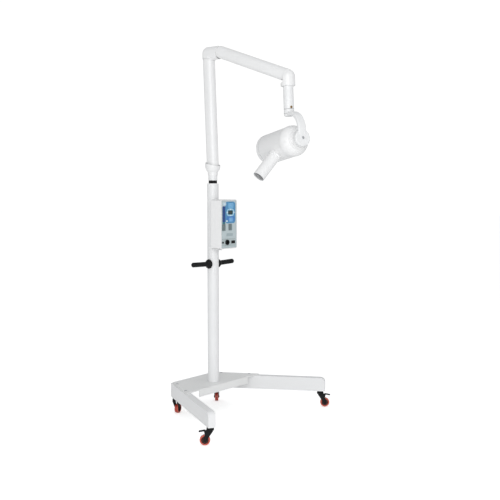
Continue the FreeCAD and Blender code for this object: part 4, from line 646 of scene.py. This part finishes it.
def leg_middle(y):
    """How far to the side a leg's middle line lies at a y, in millimetres: x = x0 + (y0 - y) tan(splay)."""
    return LEG_ROOT_X + (LEG_ROOT_Y - y) * math.tan(LEG_SPLAY)


bolt = socket_bolt_grid(BOLT_HEAD, BOLT_RISE, BOLT_SHANK, BOLT_LENGTH)
bolt_spots = [(side * leg_middle(y) * MM, y * MM, DECK_TOP) for y in BOLT_ROWS for side in (-1, 1)]
BOLTS = make_piece("deck_bolts", [set_at(bolt, spot) for spot in bolt_spots], "stand", ZINC,
                   sharp=25)
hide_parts("base_bolts")
print("bolts at", np.round(bolt_spots, 3).tolist())

# %% [markdown]
# ## The control face
# Round things on the face stand a little proud of the film: domed membrane keys round the display, lamp
# lenses in the dark blue strip, a bezel, and a knurled nut on the hand switch's socket. The keys are
# pillows: their outline is a superellipse, and their height falls off with a high power of the distance
# from the middle.

# %% Keys and lenses
FACE_Y = -112.0 * MM
OUT = (0.0, -1.0, 0.0)
DISPLAY_X, DISPLAY_Z = 10, 1068
ARROW_PAD, MODE_PAD, CORNER_PAD = (5.2, 3.6, 0.9), (9.0, 9.0, 1.1), (6.5, 4.5, 0.9)
ARROWS_AT = ((12, 1083.5), (12, 1052.5), (-14, DISPLAY_Z), (38, DISPLAY_Z))
MODES_AT = ((15, 1107), (15, 1031))
CORNER_KEYS_AT = ((-34, 1112), (-17, 1024))
LENS_X, LENSES_Z = -41.0, np.linspace(1092, 1032, 5)
KEY_BLUE = finish("key_film_blue", (0.20, 0.46, 0.74), (0.17, 0.42, 0.68), (0.48, 0.70, 0.88),
                  cloud=(0.01, 0.5), grain=(0.0004, 0.00001), rough=(0.25, 0.08), edges=(0.0008, 0.4),
                  Coat_Weight=0.3)
KEY_PALE = finish("key_film_pale", (0.66, 0.80, 0.87), (0.60, 0.75, 0.82), (0.85, 0.93, 0.96),
                  cloud=(0.01, 0.5), grain=(0.0004, 0.00001), rough=(0.25, 0.08), edges=(0.0008, 0.4),
                  Coat_Weight=0.3)
LENS = finish("lamp_lens", (0.02, 0.10, 0.22), (0.03, 0.14, 0.28), (0.20, 0.40, 0.60), cloud=(0.004, 0.6),
              grain=(0.0004, 0.00002), rough=(0.12, 0.05), edges=(0.0005, 0.4), Coat_Weight=0.6)


def pillow_grid(pad, power=4.0, rings=9, turns=40):
    """Key pad with half width a, half height b and rise h: |x/a|^n + |y/b|^n = s^n is its outline at share s
    of the way out, and z = h (1 - s^4)."""
    half_width, half_height, height = (size * MM for size in pad)
    angle = np.linspace(0, 2 * math.pi, turns, endpoint=False)
    cos, sin = np.cos(angle), np.sin(angle)
    x = half_width * np.sign(cos) * np.abs(cos) ** (2 / power)
    y = half_height * np.sign(sin) * np.abs(sin) ** (2 / power)
    share = np.concatenate([[0.0, 1.0], np.linspace(1, 0, rings)])
    z = np.concatenate([[-0.2 * MM, -0.2 * MM], height * (1 - np.linspace(1, 0, rings) ** 4) + 0.05 * MM])
    return np.stack([np.outer(share, x), np.outer(share, y), np.repeat(z[:, None], turns, 1)], -1)


def on_face(grid, x, z, level=FACE_Y):
    """A grid set on the control face, with its own x across the face and its own y up it."""
    return set_at(grid, (x * MM, level, z * MM), OUT, (1.0, 0.0, 0.0))


for name, pad, power, places, skin in (("display_keys", ARROW_PAD, 4.0, ARROWS_AT, KEY_PALE),
                                       ("mode_keys", MODE_PAD, 2.4, MODES_AT, KEY_BLUE),
                                       ("corner_keys", CORNER_PAD, 3.0, CORNER_KEYS_AT, KEY_PALE)):
    make_piece(name, [on_face(pillow_grid(pad, power), x, z) for x, z in places], "stand", skin,
               sharp=60)
lenses = [on_face(dome_grid(2.6 * MM, 1.4 * MM, 0.2 * MM), LENS_X, z) for z in LENSES_Z]
make_piece("lamp_lenses", lenses, "stand", LENS, sharp=60)

# %% [markdown]
# ## Display bezel and socket nut
# The bezel is a small rounded section carried round a rounded rectangle. The path is a superellipse with a
# high power, and the section is laid out along the path's outward direction. The nut's knurl is a wave in
# its radius.

# %% Bezel and nut
SOCKET_X, SOCKET_Z = -16.0, 914.0
PIN_CIRCLE, PIN_FACE = 4, -98 * MM
FUSE_X, FUSE_FACE = -49 * MM, -114.0 * MM
QUARTERS = np.radians((45, 135, 225, 315))


def bezel_grid(half_width, half_height, width, height, power=9.0, turns=96):
    """Frame: point = path(a) + s n(a) across and z up, for a closed section (s, z) with bevelled corners."""
    angle = np.linspace(0, 2 * math.pi, turns, endpoint=False)
    cos, sin = np.cos(angle), np.sin(angle)
    path = np.stack([half_width * np.sign(cos) * np.abs(cos) ** (2 / power),
                     half_height * np.sign(sin) * np.abs(sin) ** (2 / power)], 1)
    normal = np.stack([np.sign(cos) * np.abs(cos) ** (2 - 2 / power) / half_width,
                       np.sign(sin) * np.abs(sin) ** (2 - 2 / power) / half_height], 1)
    normal /= np.linalg.norm(normal, axis=1, keepdims=True)
    section = np.array([(1, -0.2), (1, 0.55), (0.7, 0.95), (0.3, 0.95), (0, 0.55), (0, -0.2)])
    flat = path[None] + section[:, 0, None, None] * width * normal[None]
    z = np.repeat(section[:, 1, None] * height, turns, 1)
    return np.concatenate([flat, z[..., None]], -1)


def nut_grid():
    """Knurled ring: the outer radius is 13.4 + 0.35 cos(36 a) mm, and the bore's is 8.1 mm."""
    profile = np.array([(13.4, 1.0), (13.4, 5.2), (12.6, 6.0), (9.4, 6.0), (8.1, 5.0), (8.1, 1.0)]) * MM
    grid = lathed(profile, 216)
    angle = np.arctan2(grid[..., 1], grid[..., 0])
    radius = np.hypot(grid[..., 0], grid[..., 1])
    grow = 1 + 0.35 * MM * np.cos(36 * angle) * (radius > 13 * MM) / radius
    grid[..., :2] *= grow[..., None]
    return grid


bezel = on_face(bezel_grid(14.9 * MM, 7.4 * MM, 1.8 * MM, 0.9 * MM), DISPLAY_X, DISPLAY_Z)
make_piece("display_bezel", [bezel], "stand", BLACK_SHELL, closed=True, sharp=35)
make_piece("socket_nut", [on_face(nut_grid(), SOCKET_X, SOCKET_Z)], "stand", BLACK_SHELL,
           closed=True, sharp=50)
pin = dome_grid(1.1 * MM, 1.0 * MM, 7 * MM, 16)
pins = [on_face(pin, SOCKET_X + PIN_CIRCLE * math.cos(a), SOCKET_Z + PIN_CIRCLE * math.sin(a), PIN_FACE)
        for a in QUARTERS]
make_piece("socket_pins", pins, "stand", TURNED, sharp=60)
screws("fuse_slot", [((FUSE_X, FUSE_FACE, SOCKET_Z * MM), OUT)], "stand", BLACK_SHELL, 4.2 * MM, 1.1 * MM)

# %% [markdown]
# ## The cone's lining and the head's seam
# The cone is a white tube with a lead lining, which is why its mouth looks grey. The lining is a thin
# closed tube in the beam's direction. Where the head's end cap meets the housing, a soft grey gasket shows
# as a fine line.

# %% Head details
TILT_AXIS = np.array((0.4104, 0.9037, -0.1224))
BEAM = np.array((-0.6475, 0.1942, -0.7369))
HEAD_MIDDLE = np.array((0.0, -504.7, 1418.2)) * MM
CONE_ROOT = HEAD_MIDDLE + 73.0 * MM * TILT_AXIS
LINING_INNER, LINING_OUTER, LINING_START, LINING_END = 25.6 * MM, 27.45 * MM, 85.5 * MM, 214.5 * MM
GASKET_INNER, GASKET_OUTER, GASKET_START, GASKET_END = 72.0 * MM, 74.65 * MM, 197.4 * MM, 198.6 * MM
CAP_FACE, CAP_SCREW_CIRCLE, TILT_SCREW_FACE = 253.0 * MM, 29 * MM, 127.0 * MM


def tube_grid(inner, outer, low, high, turns=64):
    """Closed tube about z between two radii and two heights, its four corners cut off at a third of its wall
    or of its height, whichever is less."""
    soft = min(outer - inner, high - low) / 3
    profile = [(outer - soft, low), (outer, low + soft), (outer, high - soft), (outer - soft, high),
               (inner + soft, high), (inner, high - soft), (inner, low + soft), (inner + soft, low)]
    return lathed(profile, turns)


lining = tube_grid(LINING_INNER, LINING_OUTER, LINING_START, LINING_END)
make_piece("cone_lining", [set_at(lining, CONE_ROOT, BEAM)], "tube_head", LEAD_LINING,
           closed=True)
gasket = tube_grid(GASKET_INNER, GASKET_OUTER, GASKET_START, GASKET_END, 128)
make_piece("cap_gasket", [set_at(gasket, HEAD_MIDDLE, TILT_AXIS)], "tube_head", KEY_RUBBER,
           closed=True)
across, up = basis(TILT_AXIS).T[:2]
cap_middle = HEAD_MIDDLE + CAP_FACE * TILT_AXIS
screws("cap_screws", [(cap_middle + CAP_SCREW_CIRCLE * (math.cos(a) * across + math.sin(a) * up), TILT_AXIS)
                      for a in QUARTERS], "tube_head")
screws("tilt_screw", [(HEAD_MIDDLE - TILT_SCREW_FACE * TILT_AXIS, -TILT_AXIS)], "yoke", radius=7.0 * MM,
       height=2.4 * MM)

# %% [markdown]
# ## Drop tube
# The tube that hangs from the wrist ends in a hub that the yoke turns in. A dark bronzed screw in the
# tube's end limits that turn. Two thin black rings are painted shade: one fills the seam under the tube,
# where the gap is in shade, and the other marks the line of shade where the hub's collar begins.

# %% Drop tube details
LEAN = math.radians(3.0)
TUBE_UP = np.array((0.0, math.sin(LEAN), math.cos(LEAN)))
WRIST_PIVOT = np.array((0.0, -483.8, 1740.7)) * MM
TUBE_OFFSET, TUBE_RADIUS, STOP_DROP = 4.0 * MM, 24.6 * MM, 156.5 * MM
TUBE_MIDDLE = WRIST_PIVOT - TUBE_OFFSET * np.array((0.0, math.cos(LEAN), -math.sin(LEAN)))
# Two black rings painted as shade: the shaded seam under the tube and the line of shade at the hub's collar.
SHADE_RINGS = (("hub_shade_ring", 24.0, 25.2, -187.6, -186.2), ("seam_shade_ring", 20.0, 24.6, -165.0, -164.2))
towards = np.array((-0.417, -0.910, 0.0))
towards -= (towards @ TUBE_UP) * TUBE_UP
towards /= np.linalg.norm(towards)
stop_at = TUBE_MIDDLE - STOP_DROP * TUBE_UP + TUBE_RADIUS * towards
screws("turn_stop_screw", [(stop_at, towards)], "wrist", BRONZED, 6.0 * MM, 2.4 * MM)
for name, *sizes in SHADE_RINGS:
    ring = tube_grid(*(size * MM for size in sizes))
    make_piece(name, [set_at(ring, TUBE_MIDDLE, TUBE_UP)], "yoke", BLACK_SHELL, closed=True)

# %% [markdown]
# ## Arm cover screws
# The two shells of each arm section are screwed to its channel from the side, at the bosses inside. The
# heads sit on the flat flanks of the oval section, and each set rides on its own arm.

# %% Arm screws
SHOULDER = np.array(JOINTS["shoulder"]["pos_m"])
BOOM = np.array(JOINTS["boom"]["pos_m"])
LOWER_LEAN, UPPER_DROOP = math.radians(2.6), math.radians(19.5)
LOWER_ALONG = np.array((0.0, math.sin(LOWER_LEAN), math.cos(LOWER_LEAN)))
UPPER_ALONG = np.array((0.0, -math.cos(UPPER_DROOP), -math.sin(UPPER_DROOP)))
LOWER_LENGTH, UPPER_LENGTH, SHELL_FLANK = 538.5 * MM, 450.0 * MM, 27.0 * MM
for body, start, reach in (("lower_arm", SHOULDER, LOWER_LENGTH * LOWER_ALONG),
                           ("upper_arm", BOOM, UPPER_LENGTH * UPPER_ALONG)):
    spots = [(start + share * reach + np.array((side * SHELL_FLANK, 0, 0)), (side, 0.0, 0.0))
             for share in (0.3, 0.7) for side in (-1, 1)]
    screws(body + "_screws", spots, body, SHELL_WHITE, 3.6 * MM, 1.2 * MM)

# %% [markdown]
# ## Elbow seal
# The elbow cover's mouth is wider than the arm section that turns in it. With the boom at rest, a white lip
# inside the mouth closes most of that gap. It leaves room below, where the arm comes closest when the boom
# moves.

# %% Elbow seal
SEAL_HEIGHT = 1890.95
SEAL_FRONT, SEAL_BACK = -45.3 * MM, -43.4 * MM
MOUTH_HALF_X, MOUTH_HALF_Z, MOUTH_POWER = 27.7, 31.75, 2.65
LIP_HALF_X, LIP_ABOVE, LIP_BELOW, LIP_POWER = 26.3, 28.1, 31.3, 2.1


def superellipse(half_x, half_z, power, angle):
    """Points of |x/a|^n + |z/b|^n = 1 in the directions of the angles: r = (|cos/a|^n + |sin/b|^n)^(-1/n)."""
    cos, sin = np.cos(angle), np.sin(angle)
    radius = (np.abs(cos / half_x) ** power + np.abs(sin / half_z) ** power) ** (-1 / power)
    return np.stack([radius * cos, radius * sin], -1)


def seal_grid(turns=120):
    """Closed lip between the mouth's outline and the arm's, whose inner edge reaches further down than up."""
    angle = np.linspace(0, 2 * math.pi, turns, endpoint=False)
    outer = superellipse(MOUTH_HALF_X, MOUTH_HALF_Z, MOUTH_POWER, angle)
    inner = superellipse(LIP_HALF_X, np.where(np.sin(angle) > 0, LIP_ABOVE, LIP_BELOW), LIP_POWER, angle)
    rows = [(outer, SEAL_BACK), (outer, SEAL_FRONT), (inner, SEAL_FRONT), (inner, SEAL_BACK)]
    return np.stack([np.stack([line[:, 0] * MM, np.full(turns, y), (line[:, 1] + SEAL_HEIGHT) * MM], -1)
                     for line, y in rows])


make_piece("elbow_seal", [seal_grid()], "elbow", SHELL_WHITE, closed=True, sharp=40)

# %% [markdown]
# ## Studio
# The photograph is a cut-out on white. So the floor glows a little more where the camera sees it, which
# burns it out to white, and a large soft light stands in front with a weak one above. The world is white
# where the camera looks past the object, and gives a softer light to the object itself.

# %% Floor
FLOOR_GLOW_LIT, FLOOR_GLOW_SEEN = 0.10, 0.50
FLOOR_WHITE = bpy.data.materials.new("studio_floor")
FLOOR_WHITE.use_nodes = True
floor_tree = FLOOR_WHITE.node_tree
floor_spot = add(floor_tree, "ShaderNodeTexCoord").outputs["Object"]
floor_noise = add(floor_tree, "ShaderNodeTexNoise", {"Vector": floor_spot, "Scale": 3.0}).outputs["Fac"]
floor_shader = floor_tree.nodes["Principled BSDF"]
floor_tree.links.new(blended(floor_tree, floor_noise, (0.90, 0.90, 0.90, 1), (0.93, 0.93, 0.93, 1)),
                     floor_shader.inputs["Base Color"])
floor_shader.inputs["Roughness"].default_value = 0.9
floor_shader.inputs["Emission Color"].default_value = (1.0, 1.0, 1.0, 1.0)
floor_seen = add(floor_tree, "ShaderNodeLightPath").outputs["Is Camera Ray"]
floor_glow = band(floor_tree, floor_seen, 0.0, 1.0, FLOOR_GLOW_LIT, FLOOR_GLOW_SEEN)
floor_tree.links.new(floor_glow, floor_shader.inputs["Emission Strength"])
FLOOR_HALF, FLOOR_LINES = 30.0, 9
floor_mesh = bpy.data.meshes.new("studio_floor")
side = np.linspace(-FLOOR_HALF, FLOOR_HALF, FLOOR_LINES)
gx, gy = np.meshgrid(side, side, indexing="ij")
floor_points = np.stack([gx, gy, np.zeros_like(gx)], -1).reshape(-1, 3)
i, j = np.meshgrid(np.arange(FLOOR_LINES - 1), np.arange(FLOOR_LINES - 1), indexing="ij")
first, second = i * FLOOR_LINES + j, (i + 1) * FLOOR_LINES + j
floor_faces = np.stack([first, second, second + 1, first + 1], -1).reshape(-1, 4)
floor_mesh.from_pydata(floor_points.tolist(), [], floor_faces.tolist())
floor_mesh.materials.append(FLOOR_WHITE)
studio_floor = bpy.data.objects.new("studio_floor", floor_mesh)
bpy.context.scene.collection.objects.link(studio_floor)

# %% World and lights
SKY_LIGHT, FRONT_WATTS, TOP_WATTS = 0.57, 72.0, 8.0
CAMERA_TURN = math.radians(50.593)
FRONT = np.array((-math.sin(CAMERA_TURN), -math.cos(CAMERA_TURN), 0.0))
world = bpy.data.worlds.new("studio")
bpy.context.scene.world = world
world.use_nodes = True
sky = world.node_tree
sky.nodes.clear()
seen = add(sky, "ShaderNodeBackground", {0: (1.0, 1.0, 1.0, 1.0), 1: 1.05})
lighting = add(sky, "ShaderNodeBackground", {0: (0.98, 0.99, 1.0, 1.0), 1: SKY_LIGHT})
ray = add(sky, "ShaderNodeLightPath").outputs["Is Camera Ray"]
mixed = add(sky, "ShaderNodeMixShader", {0: ray, 1: lighting.outputs[0], 2: seen.outputs[0]})
sky.links.new(mixed.outputs[0], add(sky, "ShaderNodeOutputWorld").inputs[0])


def soft_light(name, place, target, width, power):
    """Square area light at a point, aimed at another."""
    lamp = bpy.data.lights.new(name, "AREA")
    lamp.shape, lamp.size, lamp.energy = "SQUARE", width, power
    stand = bpy.data.objects.new(name, lamp)
    bpy.context.scene.collection.objects.link(stand)
    way = np.asarray(place) - np.asarray(target)
    turned_to = basis(way, (0.0, 0.0, 1.0))
    stand.matrix_world = Matrix([(*turned_to[r], place[r]) for r in range(3)] + [(0, 0, 0, 1)])
    return stand


RIGHT = np.array((math.cos(CAMERA_TURN), -math.sin(CAMERA_TURN), 0.0))
TARGET = np.array((0.0, -0.1, 1.0))
FRONT_LIGHT_AT = TARGET + 4.0 * FRONT + np.array((0, 0, 0.7))
TOP_LIGHT_AT = TARGET + 1.2 * RIGHT + np.array((0, 0, 3.0))
soft_light("front_light", FRONT_LIGHT_AT, TARGET, 3.0, FRONT_WATTS)
soft_light("top_light", TOP_LIGHT_AT, TARGET, 2.5, TOP_WATTS)
bpy.context.scene.view_settings.view_transform = "Standard"

# %% [markdown]
# ## Camera
# The camera stands where the photograph was taken from: beside the control box, 1.2 m up, looking slightly
# down. Its focal length comes from fitting the column, the legs and the arm to their places in the picture.

# %% Camera
FOCAL_PIXELS, FRAME_PIXELS, SENSOR = 851.38, 500.0, 36.0
CAMERA_AT, CAMERA_DIP = (-3.3396, -2.9961, 1.2172), 4.459
lens = bpy.data.cameras.new("camera")
lens.sensor_width = SENSOR
lens.lens = FOCAL_PIXELS / FRAME_PIXELS * SENSOR
camera = bpy.data.objects.new("camera", lens)
bpy.context.scene.collection.objects.link(camera)
camera.location = CAMERA_AT
camera.rotation_euler = (math.radians(90 - CAMERA_DIP), 0.0, -CAMERA_TURN)
bpy.context.scene.camera = camera
